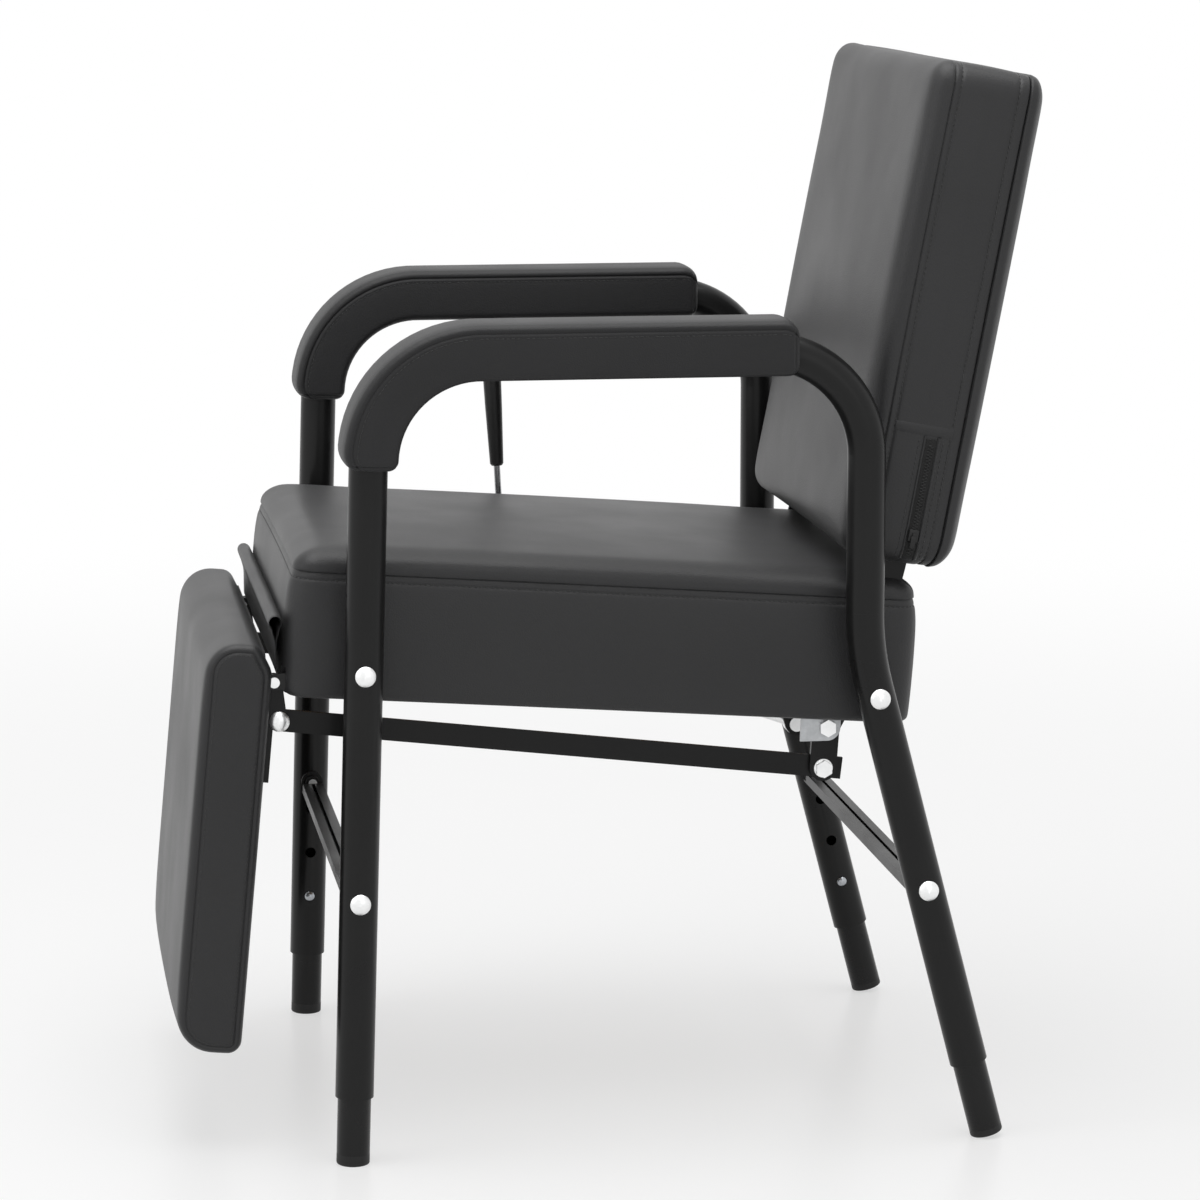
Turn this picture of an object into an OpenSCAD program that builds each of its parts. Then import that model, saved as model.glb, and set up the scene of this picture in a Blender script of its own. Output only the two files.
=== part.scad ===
// Reclining salon chair with four adjustable legs, padded arms and a linked legrest.
// The chair faces -Y and stands on z = 0. The sitter's left is +X.

/* [Side frames] */
// Distance from the seat's side to the leg centres
leg_gap = 32.1; // [30:0.1:45]
// Outside diameter of the frame tube
tube_d = 32; // [28:1:34]
// Wall of the frame tube
tube_wall = 2; // [1.5:0.1:2.5]
// Height of the tube's centre under the arm pads
arm_z = 674; // [640:1:720]
// Centre-line radius of the two arm bends
bend_r = 87; // [70:1:100]
// Place of the front feet
front_foot_y = -219.8; // [-230:0.2:-205]
// Distance from the front feet to the rear feet
stance = 541.6; // [530:0.2:560]
// Forward lean of the front legs, in degrees
front_rake = 1.77; // [0:0.01:3]
// Rearward splay of the rear legs, in degrees
rear_rake = 14.7; // [13:0.1:16]
// Height of the kink in the rear tube
kink_z = 423; // [410:1:440]
// Centre-line radius of the kink
kink_r = 250; // [150:5:280]
// Length of inner leg that shows below the front tube
front_reveal = 57.5; // [45:0.5:60]
// Length of inner leg that shows below the rear tube
rear_reveal = 68.6; // [50:0.2:70]

/* [Telescoping legs] */
// Radial clearance of the inner leg in the frame tube
leg_fit = 0.08; // [0.05:0.01:0.1]
// Wall of the inner leg
inner_wall = 1.5; // [1:0.1:2.5]
// Height of the inner leg's top end, along the leg
inner_top = 131; // [125:1:135]
// Height of the snap button, along the leg
snap_at = 114.4; // [108:0.2:118]
// Distance between the height holes
snap_pitch = 42; // [36:1:43]
// Number of height holes
snap_count = 3; // [1:1:3]
// Diameter of the height holes
snap_hole_d = 9.8; // [9:0.1:11]
// Diameter of the snap button
snap_d = 9; // [6:0.1:9.2]
// How far the snap button stands out of the frame tube
snap_proud = 2; // [1:0.1:3]
// Thickness of the snap button's spring strip
snap_strip_t = 0.8; // [0.5:0.1:1.2]
// Width of the spring strip
snap_strip_w = 7; // [5:0.5:9]
// Length of the spring strip
snap_strip_l = 46; // [30:1:60]
// Height of the foot tip below the inner leg
tip_h = 9; // [6:0.5:14]
// Length of the foot tip's plug inside the inner leg
tip_plug_l = 16; // [8:1:25]
// Edge radius of the foot tip
tip_round = 2; // [1:0.1:3]
// Depth of the flat that the foot tip stands on
tip_flat = 0.8; // [0.5:0.1:1.5]

/* [Braces] */
// Height of the front brace bolts
front_brace_z = 224.2; // [222:0.2:240]
// Height of the rear brace bolts
rear_brace_z = 219.2; // [219:0.2:240]
// Width of the brace channel
channel_w = 19; // [14:0.5:22]
// Height of the brace channel
channel_h = 9; // [7:0.5:12]
// Wall of the brace channel
channel_wall = 1.6; // [1.2:0.1:2]
// Slot along the top of the channel
channel_slot = 3; // [2:0.5:6]
// Diameter of the round end tab
tab_d = 20; // [18:0.5:24]
// Thickness of the round end tab
tab_t = 3; // [2:0.5:5]
// Diameter of the threaded boss on the tab
tab_boss_d = 13; // [12:0.5:14]
// Length of the threaded boss
tab_boss_l = 9; // [6:0.5:12]

/* [Bolts] */
// Diameter of the frame bolts
bolt_d = 8; // [6:0.5:8]
// Diametral clearance of a bolt in its hole
bolt_play = 0.4; // [0.2:0.1:1]
// Diameter of the domed bolt heads
dome_d = 17; // [15:0.5:19]
// Rise of the domed bolt heads
dome_h = 4; // [2:0.5:5]
// Width across the flats of a hexagon head
hex_af = 13; // [11:0.5:14]
// Height of a hexagon head
hex_h = 5.3; // [4:0.1:6]
// Diameter of the flange under a hexagon head
flange_d = 16; // [14:0.5:18]
// Thickness of that flange
flange_t = 1.5; // [1:0.1:2]
// Diameter of the small wood screws
screw_d = 4; // [3:0.5:5]
// Head diameter of the small screws
screw_head_d = 9; // [7:0.5:10]
// Head height of the small screws
screw_head_h = 2.4; // [1.5:0.1:3]

/* [Seat] */
// Widest width of the seat cushion
seat_w = 426; // [414:1:430]
// Length of the seat cushion, front to rear
seat_len = 537; // [530:1:540]
// Height of the seat cushion's side, up to the seam
seat_h = 103; // [95:1:120]
// Rearward slope of the seat, in degrees
seat_tilt = 4.1; // [3:0.1:5]
// Middle of the seat's underside, front to rear
seat_y = -5; // [-7:0.5:-3]
// Height of the middle of the seat's underside
seat_z = 374.5; // [374:0.5:378]
// Corner radius of the seat cushion in plan
seat_corner = 26; // [15:1:40]
// Thickness of the seat board
board_t = 12; // [9:1:15]
// Height of the side rails
rail_h = 28; // [24:1:34]
// Thickness of the side rails
rail_t = 5; // [4:0.5:6]
// Height of the rails above the seat's underside
rail_lift = 11.4; // [10:0.2:13]
// Width of the square cross rails
cross_w = 25; // [20:1:28]
// Wall of the cross rails
cross_wall = 2; // [1.5:0.5:3]
// Outside diameter of the spacers between seat and legs
spacer_d = 20; // [16:1:24]

// Height of the seat's rolled top edge above its seam
seat_roll_h = 12; // [6:0.5:16]
// Width of the seat's rolled top edge
seat_roll_w = 24; // [16:1:32]
// Rise of the seat's crown above its rolled edge
seat_crown = 6; // [3:0.5:10]
// Place of the middle cross rail along the seat
middle_rail_u = -60; // [-66:1:-58]
// Place of the front cross rail along the seat
front_rail_u = -185; // [-200:1:-170]

/* [Back] */
// How far the back stands past the seat on each side
back_over = 4; // [0:0.5:8]
// Height of the back cushion along the back
back_len = 425; // [415:1:435]
// Depth of the back cushion's side, seam to seam
back_depth = 65.3; // [62:0.1:72]
// Rearward slope of the back, in degrees
back_tilt = 10.7; // [9:0.1:12]
// Place of the back's lower front edge, front to rear
back_y = 212.8; // [211:0.2:216]
// Height of the back's lower front edge
back_z = 492.1; // [490:0.2:500]
// Corner radius of the back cushion
back_corner = 24; // [16:1:36]
// Depth from the front seam to the middle of the back arms
arm_depth = 32.7; // [30:0.1:35]
// Thickness of the back board
back_board_t = 12; // [9:1:15]
// Height of the back's rolled front edge above its seam
back_roll_h = 8; // [5:0.5:12]
// Width of the back's rolled front edge
back_roll_w = 20; // [14:1:28]
// Rise of the back's crown above its rolled edge
back_crown = 7; // [3:0.5:10]
// Bulge of the back's rear pad
rear_bulge = 9; // [5:0.5:12]
// Width of the flange that joins a back arm to the back board
flange_w = 28; // [22:1:34]
// Where that flange starts, above the back's lower edge
flange_from = 60; // [50:1:80]
// Length of that flange
flange_len = 180; // [120:5:220]
// Height of the zip above the back's lower edge
zip_top = 112; // [80:1:140]
// Width of the zip strip
zip_w = 8; // [5:0.5:12]
// Thickness of the zip strip
zip_t = 1.2; // [0.8:0.1:2]

/* [Legrest] */
// How far the legrest stands inside the seat on each side
legrest_under = 8; // [4:0.5:14]
// Length of the legrest cushion
legrest_len = 348; // [300:1:360]
// Thickness of the legrest cushion at its edges
legrest_t = 50; // [40:1:56]
// Forward slope of the legrest, in degrees
legrest_tilt = 5.45; // [4:0.05:7]
// Place of the legrest's upper back edge, front to rear
legrest_y = -281.4; // [-283:0.2:-280.6]
// Height of the legrest's upper edge
legrest_z = 431; // [424:0.5:434]
// Thickness of the legrest board
legrest_board_t = 12; // [9:1:14]

// Height of the legrest's rolled front edge above its seam
legrest_roll_h = 8; // [5:0.5:11]
// Width of the legrest's rolled front edge
legrest_roll_w = 17; // [12:1:22]
// Rise of the legrest's crown above its rolled edge
legrest_crown = 3; // [1:0.5:6]
// Start of the bracket's flange below the legrest's upper edge
leg_flange_from = 44; // [40:1:50]
// Length of the bracket's flange
leg_flange_len = 72; // [50:1:90]
// Width of the cloth loop that closes the gap before the seat
flap_d = 12; // [10:0.5:12]
// Height of the loop's middle
flap_z = 450; // [447:0.5:452]
// Height of the flap's lower end
flap_low_z = 409; // [408:0.5:412]
// Thickness of the flap below its loop
flap_t = 3; // [2:0.2:4]

/* [Arm pads] */
// Width of an arm pad
pad_w = 66.8; // [56:0.2:70]
// Pad above the tube's centre, on the level run
pad_out_level = 29; // [24:0.5:34]
// Pad below the tube's centre, on the level run
pad_in_level = 18.6; // [17.2:0.2:22]
// Pad ahead of the tube's centre, on the front run
pad_out_front = 24.5; // [22:0.5:30]
// Pad behind the tube's centre, on the front run
pad_in_front = 22.5; // [18:0.5:25]
// Height of the pad's lower front end
pad_front_z = 584; // [570:1:586]
// Place of the pad's rear end
pad_rear_y = 149; // [130:1:152]

/* [Linkage] */
// Thickness of the back arms
back_arm_t = 5; // [4:0.5:5]
// Width of the back arms
back_arm_w = 23; // [20:0.5:24]
// Place of the back pivot, front to rear
pivot_y = 189.3; // [188:0.1:191]
// Height of the back pivot
pivot_z = 348.4; // [347:0.1:349]
// Distance from the back pivot down to the link bolt
crank_len = 35.7; // [34:0.1:38]
// Forward lean of that stretch, in degrees
crank_lean = 4; // [0:0.5:8]
// Place of the legrest hinge, front to rear
hinge_y = -277; // [-277.4:0.1:-276.4]
// Height of the legrest hinge
hinge_z = 400; // [399:0.5:401]
// Distance from the legrest hinge down to the link pin
swing_len = 34.1; // [32:0.1:36]
// Rearward lean of that stretch, in degrees
swing_lean = 6.9; // [4:0.1:9]
// Height of the link bars
link_h = 18.5; // [14:0.5:20]
// Thickness of the link bars
link_t = 4; // [3:0.5:4]
// Thickness of the pivot and hinge plates
plate_t = 3; // [2.5:0.1:3]
// Running clearance of the pivots, on radius
pivot_fit = 0.06; // [0.03:0.01:0.1]
// Extra radius of the link hole at the open front pivot
open_play = 0.7; // [0.6:0.05:1]
// Diameter of the back's cross shaft
shaft_d = 16; // [14:0.5:18]

/* [Lock and lever] */
// Outside diameter of the lock cylinder
lock_d = 22; // [20:1:24]
// Bore of the lock cylinder
lock_bore = 16; // [14:0.5:17]
// Diameter of the lock rod
rod_d = 10; // [8:0.5:11]
// Place of the lock's front trunnion, front to rear
trunnion_y = 4; // [0:0.5:8]
// Height of the lock's front trunnion
trunnion_z = 383; // [382:0.5:384]
// Distance of the lock pin behind the back pivot
lock_pin_back = 10.7; // [9:0.1:12]
// Distance of the lock pin below the back pivot
lock_pin_drop = 34.4; // [33:0.1:36]
// Diameter of the lock pin and the trunnions
lock_pin_d = 8; // [7:0.5:9]
// Extra radius of the rod's eye at the open lock pin
lock_play = 1.1; // [1:0.1:1.4]
// Distance from the seat's side to the lever
lever_gap = 8; // [7.5:0.1:8.5]
// Place of the lever's pivot, front to rear
lever_y = -31; // [-33:0.5:-29]
// Height of the lever's pivot
lever_z = 364; // [362:0.5:365]
// Forward lean of the lever, in degrees
lever_lean = 2.9; // [1:0.1:5]
// Diameter of the lever rod
lever_d = 6; // [5:0.5:7]
// Height where the grip starts, above the lever's pivot
grip_from = 156; // [140:1:170]
// Height of the grip's top above the lever's pivot
grip_to = 280; // [250:1:285]
// Diameter of the grip's lower end
grip_low_d = 12.5; // [11:0.5:14]
// Diameter of the grip's widest place
grip_top_d = 17; // [15:0.5:18]
// Length of the release finger on the lever shaft
finger_len = 30; // [29:0.5:31]
// Thickness of the release finger
finger_t = 5; // [4:0.5:6]
// Diameter of the release pin
release_d = 6; // [5:0.5:7]
// Length of the lock cylinder behind its trunnion
lock_len = 110; // [100:1:120]
// Diameter of the legrest hinge pins
hinge_pin_d = 6; // [5:0.5:7]
// Wire of the lever's spring
spring_wire = 1.5; // [1:0.1:2]

/* [Hidden] */

// Fineness of round parts
$fn = 64;
// Overrun of a cut past the face that it opens
cut = 1;
// Gap between neighbours that do not touch
gap = 0.3;
// Side play between moving plates
side_play = 0.6;
// How far a rounded end keeps inside its bar's edges
ease = 0.15;
// Smallest corner radius of a cushion's inner outline
least_corner = 2;
// Thickness of a cushion's edge round its board
rim_wall = 9.7;

// Fine seam, key length and key depth where a straight run of tube meets a bend
seam = 0.01;
key_l = 1;
key_in = 0.1;

leg_x = seat_w / 2 + leg_gap;
back_w = seat_w + 2 * back_over;
legrest_w = seat_w - 2 * legrest_under;
lever_x = seat_w / 2 + lever_gap;
tube_r = tube_d / 2;
tube_bore_r = tube_r - tube_wall;
inner_r = tube_bore_r - leg_fit;
inner_bore_r = inner_r - inner_wall;
rear_foot_y = front_foot_y + stance;
upright_y = rear_foot_y - kink_z * tan(rear_rake);
bend_z = arm_z - bend_r;
front_bend_y = front_foot_y + (bend_r + bend_z * sin(front_rake)) / cos(front_rake);
front_straight = bend_z * cos(front_rake) + (front_bend_y - front_foot_y) * sin(front_rake);
rear_bend_y = upright_y - bend_r;
kink_tangent = kink_r * tan(rear_rake / 2);
rear_straight = kink_z / cos(rear_rake) - kink_tangent;

// Planes of the rail, the plates on it, the arms and the links, outermost first
rail_outer_x = seat_w / 2 - rim_wall - gap;
rail_inner_x = rail_outer_x - rail_t;
plate_x = rail_inner_x - plate_t;
arm_outer_x = plate_x - side_play;
arm_inner_x = arm_outer_x - back_arm_t;
link_outer_x = arm_inner_x - side_play;
link_inner_x = link_outer_x - link_t;

// Places of the pivots in the side view, as [y, z]
pivot_p = [pivot_y, pivot_z];
link_p = pivot_p + crank_len * [-sin(crank_lean), -cos(crank_lean)];
hinge_p = [hinge_y, hinge_z];
pin_p = hinge_p + swing_len * [sin(swing_lean), -cos(swing_lean)];
lock_p = pivot_p + [lock_pin_back, -lock_pin_drop];
trunnion_p = [trunnion_y, trunnion_z];
lever_p = [lever_y, lever_z];
lock_angle = atan2(trunnion_z - lock_p.y, lock_p.x - trunnion_y);
link_angle = atan2(pin_p.y - link_p.y, link_p.x - pin_p.x);

// Heights inside the seat, above its underside
rail_mid = rail_lift + rail_h / 2;
board_low = rail_lift + rail_h;
seat_hollow = board_low + board_t + gap;
// Where the leg centre lines cross the rails' middle, as distance along the seat
front_bolt_u = (front_foot_y + (seat_z + rail_mid * cos(seat_tilt)) * tan(front_rake) - seat_y
    - rail_mid * sin(seat_tilt)) / (cos(seat_tilt) + sin(seat_tilt) * tan(front_rake));
rear_bolt_u = (rear_foot_y - (seat_z + rail_mid * cos(seat_tilt)) * tan(rear_rake) - seat_y
    - rail_mid * sin(seat_tilt)) / (cos(seat_tilt) - sin(seat_tilt) * tan(rear_rake));

// A place on the seat, from distance along it and height above its underside, as [y, z]
function seat_point(u, w) = [seat_y + u * cos(seat_tilt) + w * sin(seat_tilt),
    seat_z - u * sin(seat_tilt) + w * cos(seat_tilt)];
front_bolt_p = seat_point(front_bolt_u, rail_mid);
rear_bolt_p = seat_point(rear_bolt_u, rail_mid);
front_brace_p = [front_foot_y + front_brace_z * tan(front_rake), front_brace_z];
rear_brace_p = [rear_foot_y - rear_brace_z * tan(rear_rake), rear_brace_z];
// A place on the back, from depth behind the front seam and height along it, as [y, z]
function back_point(q, v) = [back_y + q * cos(back_tilt) + v * sin(back_tilt),
    back_z - q * sin(back_tilt) + v * cos(back_tilt)];

// Frames of the tilted parts
module on_seat() {
    translate([0, seat_y, seat_z]) rotate([-seat_tilt, 0, 0]) children();
}

module on_back() {
    translate([0, back_y, back_z]) rotate([-back_tilt, 0, 0]) children();
}

module on_legrest() {
    translate([0, legrest_y, legrest_z]) rotate([-legrest_tilt, 0, 0]) children();
}

// A leg's own frame, with +Z up along the leg from the floor
module on_leg(side, rear) {
    foot_y = rear ? rear_foot_y : front_foot_y;
    lean = rear ? rear_rake : -front_rake;
    translate([side * leg_x, foot_y, 0]) rotate([lean, 0, 0]) children();
}

// A round bar along +X from x0 to x1 at the side view's place p
module bar_x(p, d, x0, x1) {
    translate([x0, p.x, p.y]) rotate([0, 90, 0]) cylinder(h = x1 - x0, d = d);
}

// A plate between x0 and x1 with the side view's outline given as 2D children
module plate_x(x0, x1) {
    translate([x0, 0, 0]) rotate([90, 0, 90]) linear_extrude(x1 - x0) children();
}

// A straight strip of width w in the side view, from p to q
module strip(p, q, w) {
    reach = norm(q - p);
    translate(p) rotate(atan2(q.y - p.y, q.x - p.x)) translate([0, -w / 2]) square([reach, w]);
}

module sides() {
    children();
    mirror([1, 0, 0]) children();
}

// A straight run of the frame tube, upwards along +Z, its marked ends keyed into a bend's wall
module tube_run(h, low_key, high_key) {
    low = low_key ? seam : 0;
    high = high_key ? h - seam : h;
    key_low = low_key ? -key_l : low;
    key_high = high_key ? h + key_l : high;
    rotate_extrude() union() {
        translate([tube_bore_r, low]) square([tube_wall, high - low]);
        translate([tube_bore_r + key_in, key_low]) square([tube_wall - 2 * key_in, key_high - key_low]);
    }
}

// A bend of the frame tube in the side view, about p, from angle a0 over the given sweep
module tube_bend(p, radius, a0, sweep) {
    translate([0, p.x, p.y]) rotate([90, 0, 90]) rotate([0, 0, a0])
        rotate_extrude(angle = sweep) translate([radius, 0]) difference() {
            circle(tube_r);
            circle(tube_bore_r);
        }
}

// The whole bent tube of a side frame, round x = 0
module frame_path() {
    translate([0, front_foot_y, 0]) rotate([-front_rake, 0, 0]) translate([0, 0, front_reveal])
        tube_run(front_straight - front_reveal, false, true);
    tube_bend([front_bend_y, bend_z], bend_r, 90, 90 - front_rake);
    translate([0, front_bend_y, arm_z]) rotate([-90, 0, 0]) tube_run(rear_bend_y - front_bend_y, false, false);
    tube_bend([rear_bend_y, bend_z], bend_r, 0, 90);
    translate([0, upright_y, kink_z + kink_tangent]) tube_run(bend_z - kink_z - kink_tangent, true, false);
    tube_bend([upright_y + kink_r, kink_z + kink_tangent], kink_r, 180, rear_rake);
    translate([0, rear_foot_y, 0]) rotate([rear_rake, 0, 0]) translate([0, 0, rear_reveal])
        tube_run(rear_straight - rear_reveal, false, true);
}

// The left side frame, drilled for its bolts and height holes
module side_frame() {
    hole_d = bolt_d + bolt_play;
    difference() {
        translate([leg_x, 0, 0]) frame_path();
        for (p = [front_bolt_p, rear_bolt_p, front_brace_p, rear_brace_p])
            bar_x(p, hole_d, leg_x - tube_r - cut, leg_x + tube_r + cut);
        for (rear = [false, true])
            for (i = [0:snap_count - 1])
                on_leg(1, rear) translate([0, 0, snap_at + i * snap_pitch]) rotate([0, -90, 0])
                    cylinder(h = tube_r + cut, d = snap_hole_d);
    }
}

module side_frame_left() {
    color("#262626") side_frame();
}

module side_frame_right() {
    color("#262626") mirror([1, 0, 0]) side_frame();
}

// A round peg along +X from x0, with a low dome of the given rise past x1
module domed_x(p, d, x0, x1, rise) {
    ball_r = (d * d / 4 + rise * rise) / (2 * rise);
    translate([x0, p.x, p.y]) rotate([0, 90, 0]) rotate_extrude() union() {
        square([d / 2, x1 - x0]);
        translate([0, x1 - x0]) intersection() {
            translate([0, rise - ball_r]) circle(ball_r);
            square([d / 2, rise]);
        }
    }
}

// A domed bolt through a leg's outside, with its shank running in to x1
module leg_bolt(p, x1) {
    face_x = leg_x + tube_r;
    domed_x(p, dome_d, face_x, face_x + flange_t, dome_h);
    bar_x(p, bolt_d, x1, face_x + flange_t);
}

module seat_bolts() {
    color("#ededed") sides() {
        leg_bolt(front_bolt_p, rail_inner_x);
        leg_bolt(rear_bolt_p, rail_inner_x);
    }
}

module brace_bolts() {
    color("#ededed") sides() {
        leg_bolt(front_brace_p, leg_x - tube_r - tab_boss_l);
        leg_bolt(rear_brace_p, leg_x - tube_r - tab_boss_l);
    }
}

// A spacer from the side rail to the leg, saddled on the tube
module seat_spacer(p, lean) {
    difference() {
        bar_x(p, spacer_d, rail_outer_x, leg_x - tube_bore_r);
        bar_x(p, bolt_d + bolt_play, rail_outer_x - cut, leg_x);
        translate([leg_x, p.x, p.y]) rotate([lean, 0, 0])
            cylinder(h = 2 * spacer_d, r = tube_r + gap / 6, center = true);
    }
}

module seat_spacers() {
    color("#1c1c1c") sides() {
        seat_spacer(front_bolt_p, -front_rake);
        seat_spacer(rear_bolt_p, rear_rake);
    }
}

// A slotted channel between the legs with a round threaded tab at each end
module brace(p, lean) {
    tab_x = leg_x - tube_r;
    boss_x = tab_x - tab_boss_l;
    low = -channel_h;
    inner_w = channel_w - 2 * channel_wall;
    difference() {
        union() {
            translate([-boss_x, p.x - channel_w / 2, p.y + low]) cube([2 * boss_x, channel_w, channel_h]);
            translate([-tab_x, p.x - channel_w / 2, p.y + low]) cube([2 * tab_x, channel_w, channel_wall]);
            sides() {
                bar_x(p, tab_d, tab_x - tab_t, tab_x + tube_wall);
                bar_x(p, tab_boss_d, boss_x, tab_x);
            }
        }
        translate([-boss_x + tab_t, p.x - inner_w / 2, p.y + low + channel_wall])
            cube([2 * (boss_x - tab_t), inner_w, channel_h - 2 * channel_wall]);
        translate([-boss_x + tab_t, p.x - channel_slot / 2, p.y - channel_h / 2])
            cube([2 * (boss_x - tab_t), channel_slot, channel_h]);
        sides() {
            bar_x(p, bolt_d, boss_x, leg_x);
            translate([leg_x, p.x, p.y]) rotate([lean, 0, 0])
                cylinder(h = 2 * tab_d, r = tube_r + gap / 6, center = true);
        }
    }
}

module front_brace() {
    color("#2b2b2b") brace(front_brace_p, -front_rake);
}

module rear_brace() {
    color("#2b2b2b") brace(rear_brace_p, rear_rake);
}

// Inner legs, foot tips and snap buttons, each in its leg's own frame
module inner_leg(side, rear) {
    color("#202020") on_leg(side, rear) difference() {
        translate([0, 0, tip_h]) cylinder(h = inner_top - tip_h, r = inner_r);
        translate([0, 0, tip_h - cut]) cylinder(h = inner_top - tip_h + 2 * cut, r = inner_bore_r);
        translate([0, 0, snap_at]) rotate([0, -90 * side, 0]) cylinder(h = tube_r, d = snap_hole_d);
    }
}

// A plug and tread, cut square to the leg and then flat where it stands
module foot_tip(side, rear) {
    rake = rear ? rear_rake : front_rake;
    sole = inner_r * sin(rake) - tip_flat;
    plug_r = inner_bore_r - gap / 2;
    color("#161616") difference() {
        on_leg(side, rear) union() {
            translate([0, 0, sole]) rotate_extrude() tip_half(tip_h - sole);
            translate([0, 0, tip_h]) cylinder(h = tip_plug_l, r = plug_r);
        }
        translate([side * leg_x, rear ? rear_foot_y : front_foot_y, -tip_h])
            cube([4 * inner_r, 4 * inner_r, 2 * tip_h], center = true);
    }
}

// Half of the tread's section, with a rounded lower edge
module tip_half(h) {
    translate([0, tip_round]) square([inner_r, h - tip_round]);
    square([inner_r - tip_round, tip_round]);
    intersection() {
        translate([inner_r - tip_round, tip_round]) circle(tip_round);
        square([inner_r, tip_round]);
    }
}

// A button riveted to a bent strip that presses it out through both tubes
module snap_spring(side, rear) {
    back_r = inner_bore_r - snap_strip_w / 3;
    front_x = inner_bore_r - snap_strip_w / 3 - snap_strip_t;
    rise = snap_d / 4;
    color("#d9d9d9") on_leg(side, rear) mirror([side > 0 ? 1 : 0, 0, 0]) {
        domed_x([0, snap_at], snap_d, front_x, tube_r + snap_proud - rise, rise);
        translate([front_x, -snap_strip_w / 2, snap_at - snap_strip_l])
            cube([snap_strip_t, snap_strip_w, snap_strip_l + snap_d / 2]);
        translate([-back_r, -snap_strip_w / 2, snap_at - snap_strip_l])
            cube([snap_strip_t, snap_strip_w, snap_strip_l]);
        translate([-back_r, -snap_strip_w / 2, snap_at - snap_strip_l])
            cube([front_x + back_r + snap_strip_t, snap_strip_w, snap_strip_t]);
    }
}

module inner_leg_front_left() { inner_leg(1, false); }
module inner_leg_front_right() { inner_leg(-1, false); }
module inner_leg_rear_left() { inner_leg(1, true); }
module inner_leg_rear_right() { inner_leg(-1, true); }
module foot_tip_front_left() { foot_tip(1, false); }
module foot_tip_front_right() { foot_tip(-1, false); }
module foot_tip_rear_left() { foot_tip(1, true); }
module foot_tip_rear_right() { foot_tip(-1, true); }
module snap_spring_front_left() { snap_spring(1, false); }
module snap_spring_front_right() { snap_spring(-1, false); }
module snap_spring_rear_left() { snap_spring(1, true); }
module snap_spring_rear_right() { snap_spring(-1, true); }

// Outline of a cushion with equal counts at every inset: corner arcs and points along the sides
arc_steps = 3;
side_points = 5;
ring_n = 4 * (arc_steps + 1 + side_points);

function arc_point(hw, hl, r, c, k) = let (a = 90 * c + 90 * k / arc_steps,
    sx = (c % 4 == 0 || c % 4 == 3) ? 1 : -1, sy = (c % 4 < 2) ? 1 : -1)
    [sx * (hw - r) + r * cos(a), sy * (hl - r) + r * sin(a)];
function outline(hw, hl, r) = [for (c = [0:3]) each concat(
    [for (k = [0:arc_steps]) arc_point(hw, hl, r, c, k)],
    [for (m = [1:side_points]) let (t = m / (side_points + 1))
        (1 - t) * arc_point(hw, hl, r, c, arc_steps) + t * arc_point(hw, hl, r, c + 1, 0)])];
function ring_at(w, l, corner, inset, z, crown) = [for (p = outline(w / 2 - inset, l / 2 - inset,
    max(corner - inset, least_corner))) [p.x, p.y, z + crown * bump_share(2 * p.x / w, 2 * p.y / l)]];
function bump_share(a, b) = (1 - a * a) * (1 - b * b);
function strip_faces(i, j, n) = [for (k = [0:n - 1]) each [[i + k, i + (k + 1) % n, j + k],
    [i + (k + 1) % n, j + (k + 1) % n, j + k]]];

// A closed form from rings of [inset, height, crown], with a point in the middle of each end
module ring_form(w, l, corner, rings) {
    n = ring_n;
    last = len(rings) - 1;
    points = concat([for (r = rings) each ring_at(w, l, corner, r[0], r[1], r[2])],
        [[0, 0, rings[0][1]], [0, 0, rings[last][1] + rings[last][2]]]);
    low = (last + 1) * n;
    faces = concat([for (i = [0:last - 1]) each strip_faces(i * n, (i + 1) * n, n)],
        [for (k = [0:n - 1]) [low, (k + 1) % n, k]],
        [for (k = [0:n - 1]) [low + 1, last * n + k, last * n + (k + 1) % n]]);
    polyhedron(points, [for (f = faces) [f[2], f[1], f[0]]]);
}

// Shares of the cushion's side: how far it is drawn in along its height
function draw_share(s) = pow(abs(2 * s - 1), 3);
// Shares of the rolled edge: height reached for a share of its width
function roll_share(s) = sqrt(1 - (1 - s) * (1 - s));

// Rings of a boxed cushion: a hollow for its board, drawn-in sides, a sewn seam, a roll and a crown
function cushion_rings(w, side_h, hollow, wall, draw, roll_w, roll_h, crown) = concat(
    [[wall + draw, hollow, 0], [wall, hollow, 0], [wall, 0, 0]],
    [for (s = [0, 0.12, 0.3, 0.5, 0.72, 0.9]) [draw * draw_share(s), s * side_h, 0]],
    [[draw, side_h - draw / 4, 0], [draw * 1.3, side_h + draw / 8, 0]],
    [for (s = [0.1, 0.3, 0.6, 1]) [draw * 0.5 + s * roll_w, side_h + roll_h * roll_share(s), crown * s]],
    [for (s = [0.25, 0.5, 0.78]) [roll_w + draw + s * (w / 2 - roll_w - 3 * draw), side_h + roll_h, crown]]);

// Depth to which a cushion's sides are drawn in at its seams
draw = 4.5;
arm_back_v = back_len * 0.7;
knee_lift = 84;
knee_p = pivot_p + knee_lift * [sin(28), cos(28)];
arm_low_p = back_point(arm_depth, 0);
arm_top_p = back_point(arm_depth, arm_back_v);
slot_play = 4;
slot_front = back_arm_w / 2 + slot_play;
slot_side = 1.2;
rear_open = seat_y + seat_len;

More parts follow.
